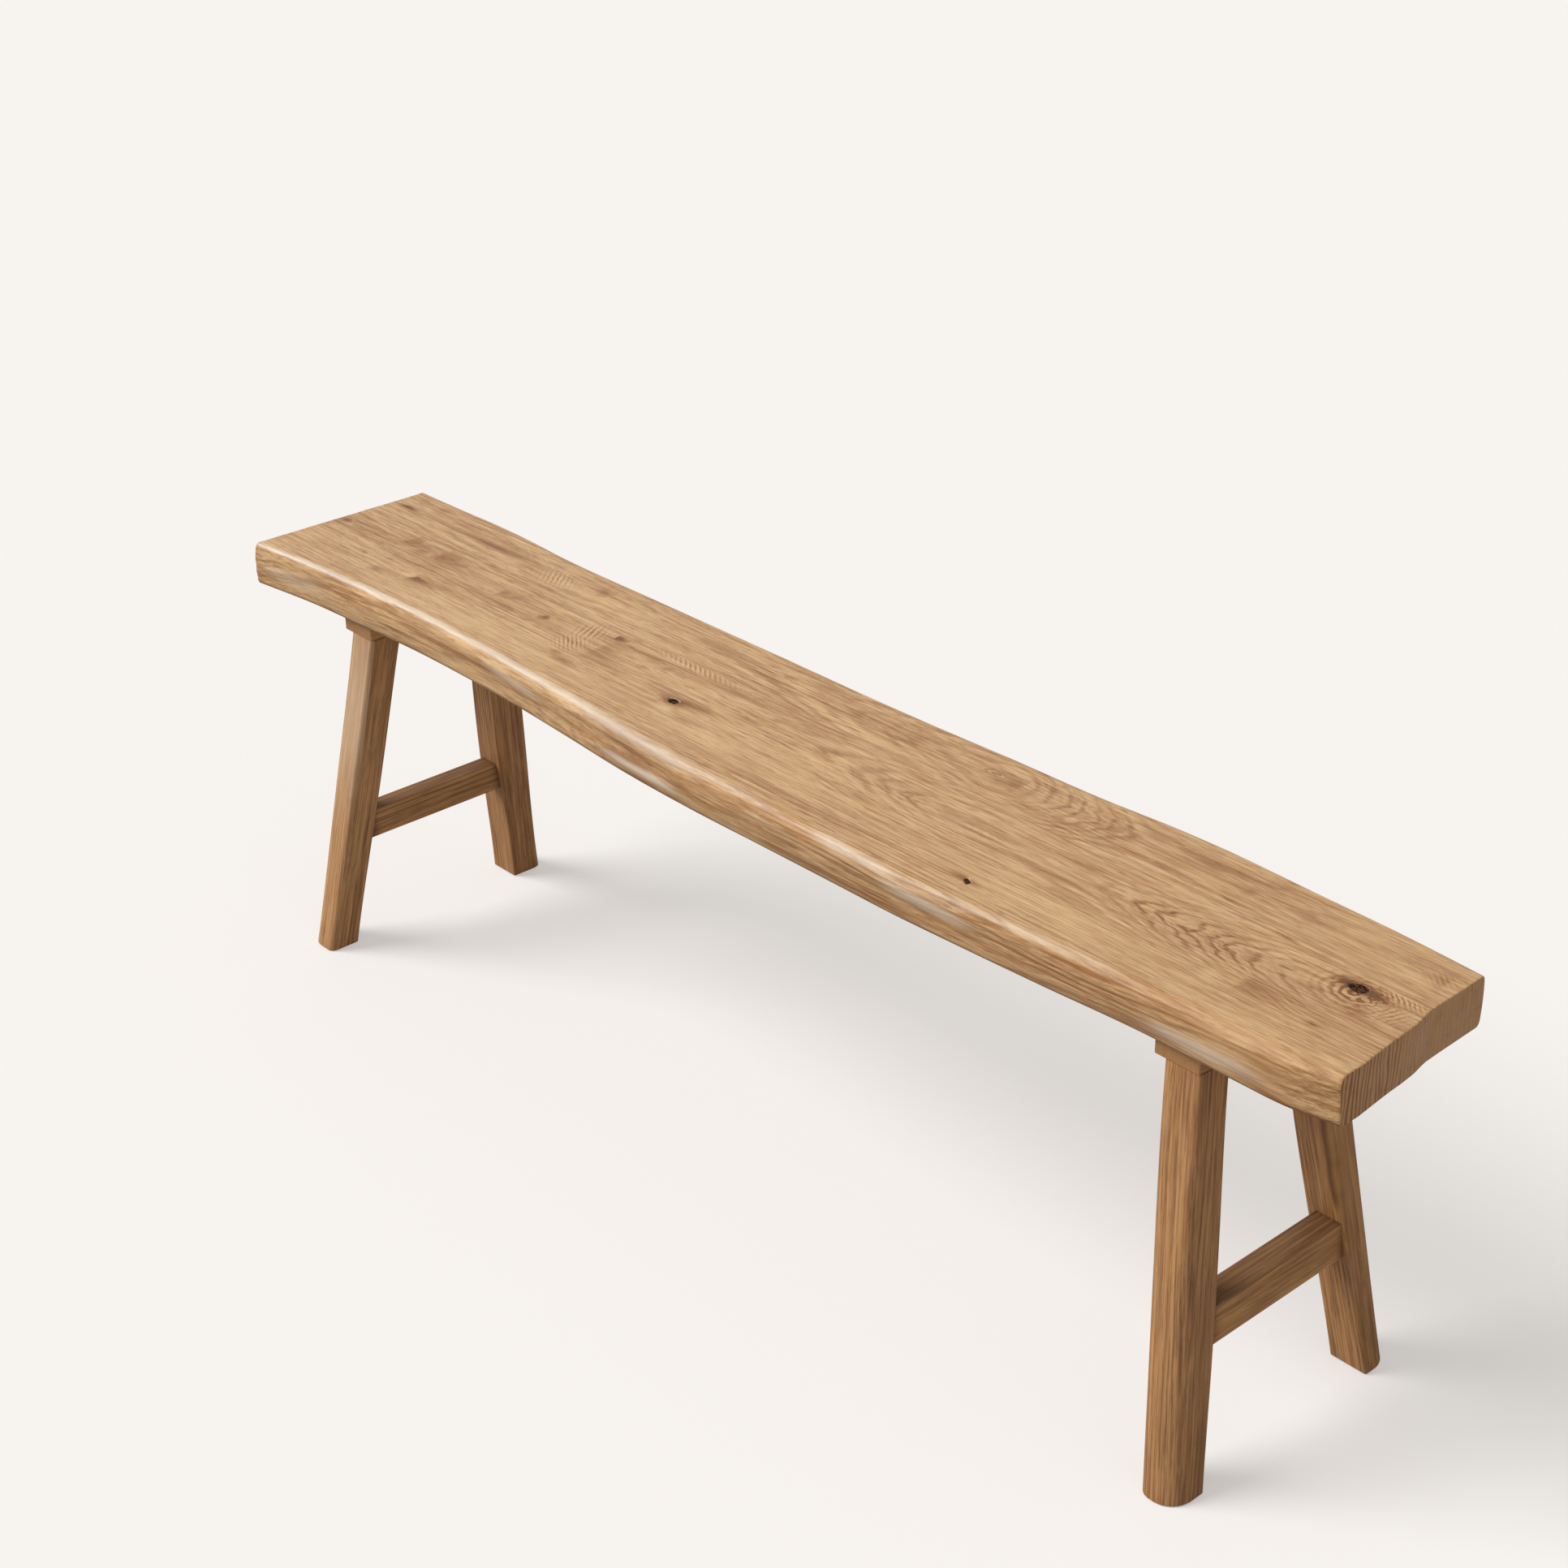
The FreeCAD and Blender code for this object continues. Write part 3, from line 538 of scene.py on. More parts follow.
    def lay_end(self) -> None:
        """Lay the upright stripes of the sawn ends, strongest near the front of the seat."""
        finish, tones, side = self.finish, self.finish.tones, self.side
        wobble = self.net.noise(side * 60.0, self.rise * 14.0, finish.seed) * 0.014
        uneven = self.net.noise(side * 75.0, self.rise * 6.0, finish.seed + 2.0).ease(0.35, 0.62)
        stripes = ((side + wobble) / finish.end_pitch).swing().ease(0.25, 0.95)
        stripes = stripes * (uneven * 0.65 + 0.35) * finish.end_bold
        if finish.grain is Grain.ALONG_SEAT:
            darkest = (side - finish.end_darkest) / 0.018
            stripes = stripes * (side.ease(0.030, -0.015) * 0.6 + 0.25 + (darkest * darkest).fade() * 0.6)
        mask = stripes + self.fibre.ease(0.62, 0.36) * 0.15 + self.cloud.ease(0.5, 0.65) * 0.2
        end = abs(self.normal[finish.grain.value[0]]).ease(0.75, 0.9)
        self.lay(end, mask.blend(tones.tan, tones.brown))

    def lay_painted_highlights(self) -> None:
        """Lay the painted highlights: pale patches, also smoother than the rest."""
        x, _, z = self.axes
        ragged = (self.net.noise(x * 30.0, 0.0, z * 220.0, 3.0, 0.6) - 0.5) * 0.004
        painted_highlight = x * 0.0
        for gleam in self.finish.gleams:
            over_x = x - gleam.x
            far_x = over_x / gleam.reach_x
            far_z = (z - gleam.z - over_x * gleam.slope + ragged) / gleam.reach_z
            painted_highlight = (far_x * far_x * far_x * far_x + far_z * far_z).fade() * gleam.strength + painted_highlight
        painted_highlight = painted_highlight * self.outward.ease(0.03, 0.16)
        # Painted highlight: pale colour where the edge catches the light.
        self.lay(painted_highlight * (0.35 + self.strand * 0.9), self.finish.tones.painted_highlight)
        self.roughness = self.roughness - painted_highlight * 0.12

    def paint(self) -> bpy.types.Material:
        """Lay every layer that the finish asks for.

        Returns:
            The finished oak.
        """
        self.lay_wood()
        if self.finish.barky:
            self.lay_bark()
        if self.finish.painted_shade:
            self.lay_painted_shade()
        for streak in self.finish.streaks:
            self.lay_streak(streak)
        self.lay_end()
        if self.finish.gleams:
            self.lay_painted_highlights()
        height = self.fibre * 0.35 + (1.0 - self.lines) * 0.45 - self.pore * 0.35
        return self.net.finish(self.colour, self.roughness, height, self.finish.depth,
                               specular=self.finish.specular)


@dataclass(frozen=True)
class KnotFillingFinish:
    """The black, slightly shrunken filling of a knot."""
    name: str = "knot_filling"
    black: Colour = (0.012, 0.007, 0.006)
    brown: Colour = (0.140, 0.060, 0.026)

    def build(self) -> bpy.types.Material:
        """Make the material.

        Returns:
            The finished surface.
        """
        net = Net(self.name)
        crumbs = net.speckle(900.0, 3.0, 0.6)
        streaks = net.speckle(260.0, 2.0, 0.5, 1.0)
        colour = streaks.ease(0.42, 0.65).blend(self.black, self.brown)
        return net.finish(colour, 0.65 + crumbs * 0.2, crumbs, 0.0005, specular=0.06)


@dataclass(frozen=True)
class ScrewFinish:
    """The plain plated steel of the batten screws."""
    name: str = "screw_steel"
    steel: Colour = (0.52, 0.51, 0.48)
    dull: Colour = (0.36, 0.34, 0.30)

    def build(self) -> bpy.types.Material:
        """Make the material.

        Returns:
            The finished surface.
        """
        net = Net(self.name)
        turned = net.speckle(700.0)
        spots = net.speckle(160.0, 3.0, 0.6)
        colour = spots.ease(0.4, 0.65).blend(self.steel, self.dull)
        return net.finish(colour, 0.3 + turned * 0.25, turned, 0.0001, metal=1.0)


@dataclass(frozen=True)
class FloorFinish:
    """A plain pale floor: what the camera sees, and a duller floor for the light that it throws back."""
    name: str = "pale_floor"
    seen: Colour = (0.92, 0.89, 0.865)
    bounce: Colour = (0.42, 0.38, 0.34)
    glow: Colour = (0.92, 0.895, 0.87)
    veil: float = 0.45

    def build(self) -> bpy.types.Material:
        """Make the material.

        Returns:
            The finished surface.
        """
        net = Net(self.name)
        seen = net.node("ShaderNodeLightPath", {}, {}, out="Is Camera Ray")
        faint = net.speckle(3.0)
        colour = seen.blend(self.bounce, self.seen)
        shader = net.node("ShaderNodeBsdfPrincipled", {}, {
            "Base Color": colour, "Roughness": 0.85 + faint * 0.1, "Specular IOR Level": 0.1})
        glow = net.node("ShaderNodeEmission", {}, {"Color": self.glow, "Strength": 1.0})
        net.node_output(net.node("ShaderNodeMixShader", {}, {0: seen * self.veil, 1: shader, 2: glow}))
        return net.material


def spline(table: Sequence[Sequence[float]], column: int, where: np.ndarray) -> np.ndarray:
    """Run a smooth curve through the points of a table.

    Args:
        table: rows that each start with a place, in rising order.
        column: the column that holds the values.
        where: the places to read the curve at.

    Returns:
        The values there.
    """
    places, values = (np.array([row[index] for row in table]) for index in (0, column))
    slope = np.gradient(values, places)
    low = np.clip(np.searchsorted(places, where) - 1, 0, len(places) - 2)
    high = low + 1
    span = places[high] - places[low]
    share = np.clip((where - places[low]) / span, 0.0, 1.0)
    square, cube = share ** 2, share ** 3
    return ((2 * cube - 3 * square + 1) * values[low] + (cube - 2 * square + share) * span * slope[low]
            + (3 * square - 2 * cube) * values[high] + (cube - square) * span * slope[high])


def ripple(x: np.ndarray, y: np.ndarray, seed: int, length: float, width: float) -> np.ndarray:
    """Make gentle random hollows and swells, the same on each run.

    Args:
        x: the places along the wood.
        y: the places across it.
        seed: which pattern.
        length: the usual length of a swell along the wood.
        width: its usual width across.

    Returns:
        Heights from about -1 to 1.
    """
    pick = np.random.default_rng(seed)
    total = np.zeros(np.broadcast(x, y).shape)
    for _ in range(14):
        wave_x = 2 * math.pi / length * pick.uniform(0.4, 1.6)
        wave_y = 2 * math.pi / width * pick.uniform(-1.2, 1.2)
        total = total + np.sin(x * wave_x + y * wave_y + pick.uniform(0, 2 * math.pi))
    return total / 4.0


def mesh_piece(name: str, points: np.ndarray, faces: Sequence[Sequence[int]],
               material: bpy.types.Material) -> bpy.types.Object:
    """Turn points and faces into a piece of the bench.

    Args:
        name: the piece's name.
        points: its points.
        faces: its faces, as lists of point numbers.
        material: its finish.

    Returns:
        The piece.
    """
    mesh = bpy.data.meshes.new(name)
    mesh.from_pydata([tuple(point) for point in points], [], [tuple(face) for face in faces])
    mesh.validate()
    shell = bmesh.new()
    shell.from_mesh(mesh)
    bmesh.ops.recalc_face_normals(shell, faces=shell.faces)
    shell.to_mesh(mesh)
    shell.free()
    mesh.polygons.foreach_set("use_smooth", [True] * len(mesh.polygons))
    mesh.set_sharp_from_angle(angle=math.radians(CREASE))
    mesh.materials.append(material)
    piece = bpy.data.objects.new(name, mesh)
    bpy.context.scene.collection.objects.link(piece)
    return piece


def skin_rings(rings: np.ndarray, caps: Sequence[Sequence[int]]) -> list[tuple[int, ...]]:
    """Join closed rings of points, one after another, and close both ends.

    Args:
        rings: points, by ring and then around it.
        caps: the faces that close an end, as numbers around the ring.

    Returns:
        The faces.
    """
    count, around = rings.shape[:2]
    faces: list[tuple[int, ...]] = []
    for ring in range(count - 1):
        low, high = ring * around, (ring + 1) * around
        for index in range(around):
            after = (index + 1) % around
            faces.append((low + index, high + index, high + after, low + after))
    last = (count - 1) * around
    faces += [tuple(cap) for cap in caps]
    faces += [tuple(last + index for index in reversed(cap)) for cap in caps]
    return faces


def crowd(low: float, high: float, step: float, spots: Sequence[tuple[float, float]],
          fine: float) -> np.ndarray:
    """Space points evenly, but closer together around some spots.

    Args:
        low: the first point.
        high: the last one.
        step: the usual spacing.
        spots: pairs of a place and its reach.
        fine: the spacing there.

    Returns:
        The points, in rising order.
    """
    where = np.linspace(low, high, 4000)
    density = np.full(where.shape, 1.0 / step)
    for place, reach in spots:
        density = density + (1.0 / fine - 1.0 / step) * np.exp(-((where - place) / reach) ** 4)
    total = np.concatenate([[0.0], np.cumsum((density[1:] + density[:-1]) / 2 * np.diff(where))])
    return np.interp(np.linspace(0.0, total[-1], int(round(total[-1])) + 1), total, where)


def claim(piece: bpy.types.Object, node: str) -> None:
    """Let a piece stand for a node of the frame.

    Args:
        piece: the piece.
        node: the node.
    """
    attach(piece, "root")
    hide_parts(node)
    LOG.info("%s: %d points", piece.name, len(piece.data.vertices))


@dataclass(frozen=True)
class Lamp:
    """A soft lamp so far away that it lights the whole floor evenly: its angle is how wide it looks."""
    name: str
    towards: Point
    angle: float
    strength: float
    colour: Colour = (1.0, 1.0, 1.0)
    only_sheen: bool = False

    def hang(self) -> None:
        """Hang the lamp."""
        light = bpy.data.lights.new(self.name, "SUN")
        light.angle = math.radians(self.angle)
        light.energy = self.strength
        light.color = self.colour
        piece = bpy.data.objects.new(self.name, light)
        piece.rotation_euler = (-Vector(self.towards)).to_track_quat("-Z", "Y").to_euler()
        piece.visible_diffuse = not self.only_sheen
        bpy.context.scene.collection.objects.link(piece)


@dataclass
class Studio:
    """The floor, the light and the camera."""
    eye: Point = (1.7420, -1.5337, 1.5830)
    yaw: float = 46.596
    pitch: float = 27.234
    sensor: float = 36.0
    focal_share: float = 1.7469
    shift: float = -0.05383
    floor_reach: float = 30.0
    room_colour: Colour = (1.0, 0.985, 0.97)
    room_light: float = 0.38
    room_seen: float = 0.90
    lamps: tuple[Lamp, ...] = (
        Lamp("key_lamp", (-0.50, -0.54, 0.68), 35.0, 2.9),
        Lamp("fill_lamp", (0.94, -0.22, 0.26), 60.0, 0.26),
        Lamp("sheen_lamp", (-0.76, 0.51, 0.40), 60.0, 0.3, (1.0, 0.94, 0.84), only_sheen=True),
    )

    def build(self) -> None:
        """Set the whole studio up."""
        reach = self.floor_reach
        corners = [(-reach, -reach, 0.0), (reach, -reach, 0.0), (reach, reach, 0.0), (-reach, reach, 0.0)]
        mesh_piece("floor", np.array(corners), [(0, 1, 2, 3)], FloorFinish().build())
        for lamp in self.lamps:
            lamp.hang()
        self.build_room()
        self.build_camera()
        bpy.context.scene.view_settings.view_transform = "Standard"
        LOG.info("studio: floor, lamps, room and camera")

    def build_room(self) -> None:
        """Light the room from all around, and show the camera a brighter one."""
        world = bpy.data.worlds.new("room")
        bpy.context.scene.world = world
        world.use_nodes = True
        background = world.node_tree.nodes["Background"]
        background.inputs["Color"].default_value = (*self.room_colour, 1.0)
        seen = world.node_tree.nodes.new("ShaderNodeLightPath").outputs["Is Camera Ray"]
        level = world.node_tree.nodes.new("ShaderNodeMapRange")
        level.inputs["To Min"].default_value = self.room_light
        level.inputs["To Max"].default_value = self.room_seen
        world.node_tree.links.new(seen, level.inputs["Value"])
        world.node_tree.links.new(level.outputs["Result"], background.inputs["Strength"])

    def build_camera(self) -> None:
        """Stand the camera where the picture was taken from."""
        camera = bpy.data.cameras.new("camera")
        camera.sensor_width = self.sensor
        camera.lens = self.focal_share * self.sensor
        camera.shift_x = self.shift
        piece = bpy.data.objects.new("camera", camera)
        piece.location = self.eye
        piece.rotation_euler = (math.radians(90.0 - self.pitch), 0.0, math.radians(self.yaw))
        bpy.context.scene.collection.objects.link(piece)
        bpy.context.scene.camera = piece


# The live edge by the share of the seat's length: its top line, its face and its foot, as shares of
# how far they wander, then its swell and its rounding.
LIVE_EDGE = (
    (0.0, 0.575, 0.74, 0.75, 0.3, 0.8), (0.065, 0.3, 0.525, 0.47, 0.6, 0.8),
    (0.119, 0.19, 0.425, 0.37, 1.0, 0.9), (0.187, 0.11, 0.35, 0.265, 0.8, 0.9),
    (0.241, 0.15, 0.39, 0.28, 0.3, 0.9), (0.296, 0.22, 0.475, 0.345, -0.4, 1.0),
    (0.364, 0.325, 0.6, 0.51, -0.6, 1.0), (0.432, 0.475, 0.75, 0.7, 0.2, 1.0),
    (0.5, 0.6, 0.875, 0.775, 0.8, 1.0), (0.568, 0.65, 0.9, 0.76, 1.0, 1.0),
    (0.636, 0.69, 0.925, 0.75, 0.6, 0.9), (0.684, 0.76, 0.95, 0.745, -0.3, 0.8),
    (0.731, 0.64, 0.85, 0.68, -0.5, 0.8), (0.799, 0.45, 0.7, 0.56, 0.4, 0.8),
    (0.867, 0.25, 0.56, 0.41, 0.9, 0.8), (0.935, 0.14, 0.46, 0.405, 0.6, 0.8),
    (0.968, 0.08, 0.42, 0.38, 0.4, 0.7), (1.0, 0.04, 0.24, 0.165, 0.2, 0.6),
)

# The back edge in the same way: its face and its foot.
BACK_EDGE = (
    (0.0, 0.33, 0.28), (0.05, 0.36, 0.3), (0.095, 0.46, 0.38), (0.135, 0.38, 0.32),
    (0.177, 0.15, 0.13), (0.296, 0.12, 0.13), (0.432, 0.15, 0.09), (0.5, 0.12, 0.06),
    (0.568, 0.2, 0.12), (0.636, 0.4, 0.32), (0.704, 0.5, 0.38), (0.772, 0.88, 0.65),
    (0.806, 0.925, 0.73), (0.867, 0.72, 0.6), (0.935, 0.5, 0.42), (1.0, 0.06, 0.05),
)

# The saw cut of the right end: places as shares of the back edge's reach, and the shares of the skew.
END_CUT = ((-0.65, 0.0), (-0.25, 0.28), (0.10, 0.48), (0.30, 0.76), (0.55, 0.84), (1.30, 1.0))

# The ridges and, below zero, the hollows of the live edge: X and Z of both ends, reach and height.
RIDGES = (
    (-0.71, 0.424, -0.62, 0.424, 0.006, 0.0006), (-0.52, 0.42, -0.4, 0.43, 0.006, 0.0005),
    (-0.33, 0.434, -0.245, 0.43, 0.005, 0.001), (-0.32, 0.443, -0.25, 0.441, 0.004, -0.0006),
    (-0.137, 0.416, -0.01, 0.416, 0.005, 0.001), (-0.175, 0.431, -0.045, 0.429, 0.006, -0.0014),
    (-0.045, 0.44, 0.055, 0.44, 0.005, 0.0006), (0.08, 0.434, 0.15, 0.434, 0.005, 0.0006),
    (0.2, 0.44, 0.255, 0.438, 0.0045, 0.0007), (0.265, 0.437, 0.36, 0.432, 0.0055, 0.0011),
    (0.28, 0.446, 0.4, 0.444, 0.004, -0.0008), (0.4, 0.417, 0.52, 0.412, 0.005, 0.0005),
    (0.55, 0.42, 0.645, 0.42, 0.005, 0.0009),
)


class Side(Enum):
    """The two boards of the seat, by the way that their outer edge faces."""
    FRONT = -1
    BACK = 1


@dataclass(frozen=True)
class FilledKnot:
    """A knot that was cleaned out and filled: its middle, its half length, half width and turn."""
    name: str
    x: float
    y: float
    half_x: float
    half_y: float
    turn: float

    def spread(self, x: np.ndarray, y: np.ndarray) -> np.ndarray:
        """Measure how far points are from the middle, as a share of the ragged outline.

        Args:
            x: the points' places along the seat.
            y: their places across it.

        Returns:
            0 in the middle and 1 on the outline.
        """
        turn = math.radians(self.turn)
        over_x, over_y = x - self.x, y - self.y
        far_x = (over_x * math.cos(turn) + over_y * math.sin(turn)) / self.half_x
        far_y = (over_y * math.cos(turn) - over_x * math.sin(turn)) / self.half_y
        round_it = np.arctan2(far_y, far_x)
        ragged = 0.05 * np.sin(2 * round_it + 1.0) + 0.05 * np.sin(3 * round_it + 2.0)
        ragged = ragged + 0.03 * np.sin(5 * round_it + 0.5)
        return np.hypot(far_x, far_y) * (1.0 + ragged)


@dataclass
class Seat:
    """The two glued boards of the seat, and the three filled knots.

    Reach is how far an edge lies from the middle line at least, and wander what its curves add.
    """
    length: float = SEAT_LENGTH
    top: float = SEAT_TOP
    thick: float = SEAT_THICK
    glue_line: float = 0.033
    front_reach: float = 0.084
    front_wander: float = 0.040
    front_bulge: float = 0.002
    front_round: float = 0.012
    under_round: float = 0.005
    back_reach: float = 0.106
    back_wander: float = 0.016
    back_bulge: float = 0.001
    back_round: float = 0.004
    end_skew: float = 0.014
    end_zone: float = 0.040
    dent: float = 0.003
    dent_share: float = 1.05
    dent_fade_share: float = 0.39
    sunk: float = 0.0008
    crumb: float = 0.0003
    face_ripple: float = 0.0003
    top_ripple: float = 0.00012
    ridge_fade: float = 0.022
    step: float = 0.005
    fine: float = 0.001
    front_spread: float = 0.130
    back_spread: float = 0.075
    bow_out: float = 0.64
    bow_down: float = 0.27
    round_points: int = 5
    face_points: int = 14
    heel_points: int = 4
    joint_points: int = 3
    skip: int = 4
    eased: tuple[tuple[float, float], ...] = (
        (0.0, 0.0016), (0.00015, 0.0009), (0.0005, 0.00045), (0.0012, 0.00012), (0.0022, 0.0))
    eased_zone: float = 0.004
    knots: tuple[FilledKnot, ...] = (
        FilledKnot("large", 0.6640, 0.0190, 0.0100, 0.0065, 4.0),
        FilledKnot("middle", -0.1130, -0.0370, 0.0075, 0.0045, -6.0),
        FilledKnot("small", 0.3300, -0.0830, 0.0055, 0.0025, -28.0),
    )

    def build(self) -> None:
        """Make and dress the seat."""
        front = OakFinish(
            "front_board_oak", Grain.ALONG_SEAT, -0.005, 0.405, seed=2.0, painted_falloff=0.11, barky=True,
            fall=((0.0, 0.50), (0.20, 0.48), (0.44, 0.48), (0.50, 0.46), (0.58, 0.43), (0.67, 0.26),
                  (0.79, 0.40), (0.93, 0.02)),
            knots=FRONT_KNOTS, flecks=FRONT_FLECKS, gleams=GLEAMS)
        back = OakFinish(
            "back_board_oak", Grain.ALONG_SEAT, 0.077, 0.375, seed=7.0, painted_falloff=0.17,
            fall=((0.0, 0.35), (0.2, 0.30), (0.35, 0.36), (0.50, 0.33), (0.63, 0.14), (0.68, 0.16),
                  (0.76, 0.46), (1.0, 0.3)),
            knots=BACK_KNOTS, flecks=BACK_FLECKS)
        for side, finish in ((Side.FRONT, front), (Side.BACK, back)):
            node = f"seat_{side.name.lower()}_board"
            claim(self.build_board(side, node, finish.build()), node)
        filling = KnotFillingFinish().build()
        for knot in self.knots:
            claim(self.build_filling(knot, filling), f"knot_filler_{knot.name}")
        LOG.info("seat: two boards and three filled knots")

    def edge_lines(self, side: Side, x: np.ndarray) -> tuple[np.ndarray, ...]:
        """Give the lines of a board's outer edge.

        Args:
            side: which board.
            x: the places along the seat.

        Returns:
            The Y of the edge's top line, of its face and of its foot, then the swell and the fall of
            the top rounding.
        """
        share = (x + self.length / 2) / self.length
        if side is Side.FRONT:
            *lines, bulge, drop = (spline(LIVE_EDGE, index, share) for index in range(1, 6))
            lines = [-self.front_reach - self.front_wander * line for line in lines]
            return *lines, self.front_bulge * bulge, self.front_round * drop
        face, foot = (self.back_reach + self.back_wander * spline(BACK_EDGE, index, share)
                      for index in (1, 2))
        level = np.ones_like(face)
        return face - self.back_round, face, foot, self.back_bulge * level, self.back_round * level

    def right_end(self, y: np.ndarray) -> np.ndarray:
        """Give the X of the saw cut across the right end."""
        return self.length / 2 - self.end_skew * spline(END_CUT, 1, y / self.back_reach)

    def section(self, side: Side, x: np.ndarray, shares: np.ndarray) -> tuple[np.ndarray, np.ndarray]:
        """Draw a board's section at each place along the seat.

        Args:
            side: which board.
            x: the places, by section and then around it, or one column of them.
            shares: the places across the top, from 0 at the joint to 1 at the edge.

        Returns:
            The Y and Z of its points: over the top, down the edge, back underneath and up the joint.
        """
        out, count = side.value, len(shares)
        back = shares[::self.skip][::-1][1:]
        edge = self.round_points + self.face_points + self.heel_points
        x = np.broadcast_to(x, (x.shape[0], count + edge + len(back) + self.joint_points))
        top_y, face_y, foot_y, bulge, drop = self.edge_lines(side, x)
        heel_y = foot_y - out * self.under_round
        top_z = np.full(x.shape, self.top)
        under_z = top_z - self.thick
        high_z, low_z = top_z - drop, under_z + self.under_round
        corners = (
            (top_y, top_z),
            (top_y + (face_y - top_y) * self.bow_out, top_z - drop * self.bow_down),
            (face_y, high_z),
            ((face_y + foot_y) / 2 + out * bulge, (high_z + low_z) / 2),
            (foot_y, low_z),
            (heel_y + out * self.under_round * self.bow_out, under_z + self.under_round * self.bow_down),
            (heel_y, under_z),
        )
        pieces = [(self.glue_line + (top_y[:, :count] - self.glue_line) * shares, top_z[:, :count])]
        start = count
        for first, points in ((0, self.round_points), (2, self.face_points), (4, self.heel_points)):
            pieces.append(self.bow(corners[first:first + 3], start, points))
            start += points
        under = self.glue_line + (heel_y[:, start:start + len(back)] - self.glue_line) * back
        pieces.append((under, under_z[:, :len(back)]))
        up = np.linspace(self.top - self.thick, self.top, self.joint_points + 2)[1:-1]
        joint = np.full((x.shape[0], len(up)), self.glue_line)
        pieces.append((joint, np.broadcast_to(up, joint.shape)))
        return tuple(np.hstack(column) for column in zip(*pieces))

    @staticmethod
    def bow(points: Sequence[Sequence[np.ndarray]], start: int, count: int) -> list[np.ndarray]:
        """Run a bow through three points, leaving out the first.

        Args:
            points: the Y and Z of the three points, by section and then around it.
            start: how many of the section's points come before the bow.
            count: how many points it has.

        Returns:
            The Y and Z of its points.
        """
        share = np.linspace(0.0, 1.0, count + 1)[1:]
        weights = ((1 - share) * (1 - 2 * share), 4 * share * (1 - share), share * (2 * share - 1))
        here = slice(start, start + count)
        return [sum(weight * value[:, here] for weight, value in zip(weights, values))
                for values in zip(*points)]

    def build_board(self, side: Side, node: str, material: bpy.types.Material) -> bpy.types.Object:
        """Make one board with the relief of its edge, the dents of its knots and eased ends.

        Args:
            side: which board.
            node: the node that it stands for.
            material: its finish.

        Returns:
            The board.
        """
        half = self.length / 2
        is_front = side is Side.FRONT
        holes = self.knots if is_front else ()
        ease, inset = np.array(self.eased).T
        near_x = [(knot.x, knot.half_x * 1.3) for knot in holes]
        inner = crowd(self.eased_zone - half, half - self.eased_zone, self.step, near_x, self.fine)
        base = np.concatenate([ease - half, inner, half - ease[::-1]])
        inset = np.concatenate([inset, np.zeros(len(inner)), inset[::-1]])
        near_y = []
        for knot in holes:
            reach = self.glue_line - float(self.edge_lines(side, np.array([knot.x]))[0][0])
            near_y.append(((self.glue_line - knot.y) / reach, knot.half_y * 1.5 / reach))
        spread = self.front_spread if is_front else self.back_spread
        shares = crowd(0.0, 1.0, self.step / spread, near_y, self.fine / spread)
        wanted = self.skip * math.ceil((len(shares) - 1) / self.skip) + 1
        shares = np.interp(np.linspace(0, 1, wanted), np.linspace(0, 1, len(shares)), shares)
        x = base[:, None]
        y, z = self.section(side, x, shares)
        x = np.broadcast_to(x, y.shape)
        zone = half - self.end_zone
        # The saw cut moves points along the seat, where the edge lies elsewhere: three rounds settle it.
        for _ in range(3):
            stretch = (self.right_end(y) - zone) / self.end_zone
            x = np.where(base[:, None] > zone, zone + (base[:, None] - zone) * stretch, base[:, None])
            y, z = self.section(side, x, shares)
        count = len(shares)
        if is_front:
            span = self.round_points + self.face_points
            on_face = np.zeros(y.shape[1])
            on_face[count + 1:count + 1 + span] = np.sin(np.linspace(0.1, math.pi - 0.1, span)) ** 0.5
            y = y - self.relief(x, z) * on_face
        z = z + self.top_relief(x, y, count)
        reach_y = np.abs(y - self.glue_line) / np.abs(y - self.glue_line).max(axis=1, keepdims=True)
        y = y - side.value * inset[:, None] * reach_y ** 4
        middle = self.top - self.thick / 2
        z = middle + (z - middle) * (1.0 - inset[:, None] / (self.thick / 2))
        rings = np.clip(np.stack([x, y, z], axis=2), *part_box(node))
        faces = skin_rings(rings, self.cap_strips(count, rings.shape[1]))
        return mesh_piece(f"{node}_finished", rings.reshape(-1, 3), faces, material)

    def relief(self, x: np.ndarray, z: np.ndarray) -> np.ndarray:
        """Give the outward relief of the live edge.

        Args:
            x: the points' places along the seat.
            z: their heights.

        Returns:
            How far each one stands out.
        """
        total = self.face_ripple * (ripple(x, z, 5, 0.09, 0.016) - 1.0)
        for start_x, start_z, end_x, end_z, reach, height in RIDGES:
            share = np.clip((x - start_x) / (end_x - start_x), 0.0, 1.0)
            off_x = x - (start_x + (end_x - start_x) * share)
            off_z = z - (start_z + (end_z - start_z) * share)
            total = total + height * np.exp(-(off_z / reach) ** 2 - (off_x / self.ridge_fade) ** 2)
        return total

    def top_relief(self, x: np.ndarray, y: np.ndarray, count: int) -> np.ndarray:
        """Give the slight hollows of the top and the dents of the filled knots, on the top alone.

        Args:
            x: the points' places along the seat.
            y: their places across it.
            count: how many points of a section lie on the top.

        Returns:
            How far each point is lifted, never above zero.
        """
        lift = np.minimum(self.top_ripple * (ripple(x, y, 9, 0.30, 0.07) - 1.6), 0.0)
        for knot in self.knots:
            near = np.clip((self.dent_share - knot.spread(x, y)) / self.dent_fade_share, 0.0, 1.0)
            lift = lift - self.dent * near * near * (3 - 2 * near)
        lift[:, 0] = 0.0
        lift[:, count - 1:] = 0.0
        return lift

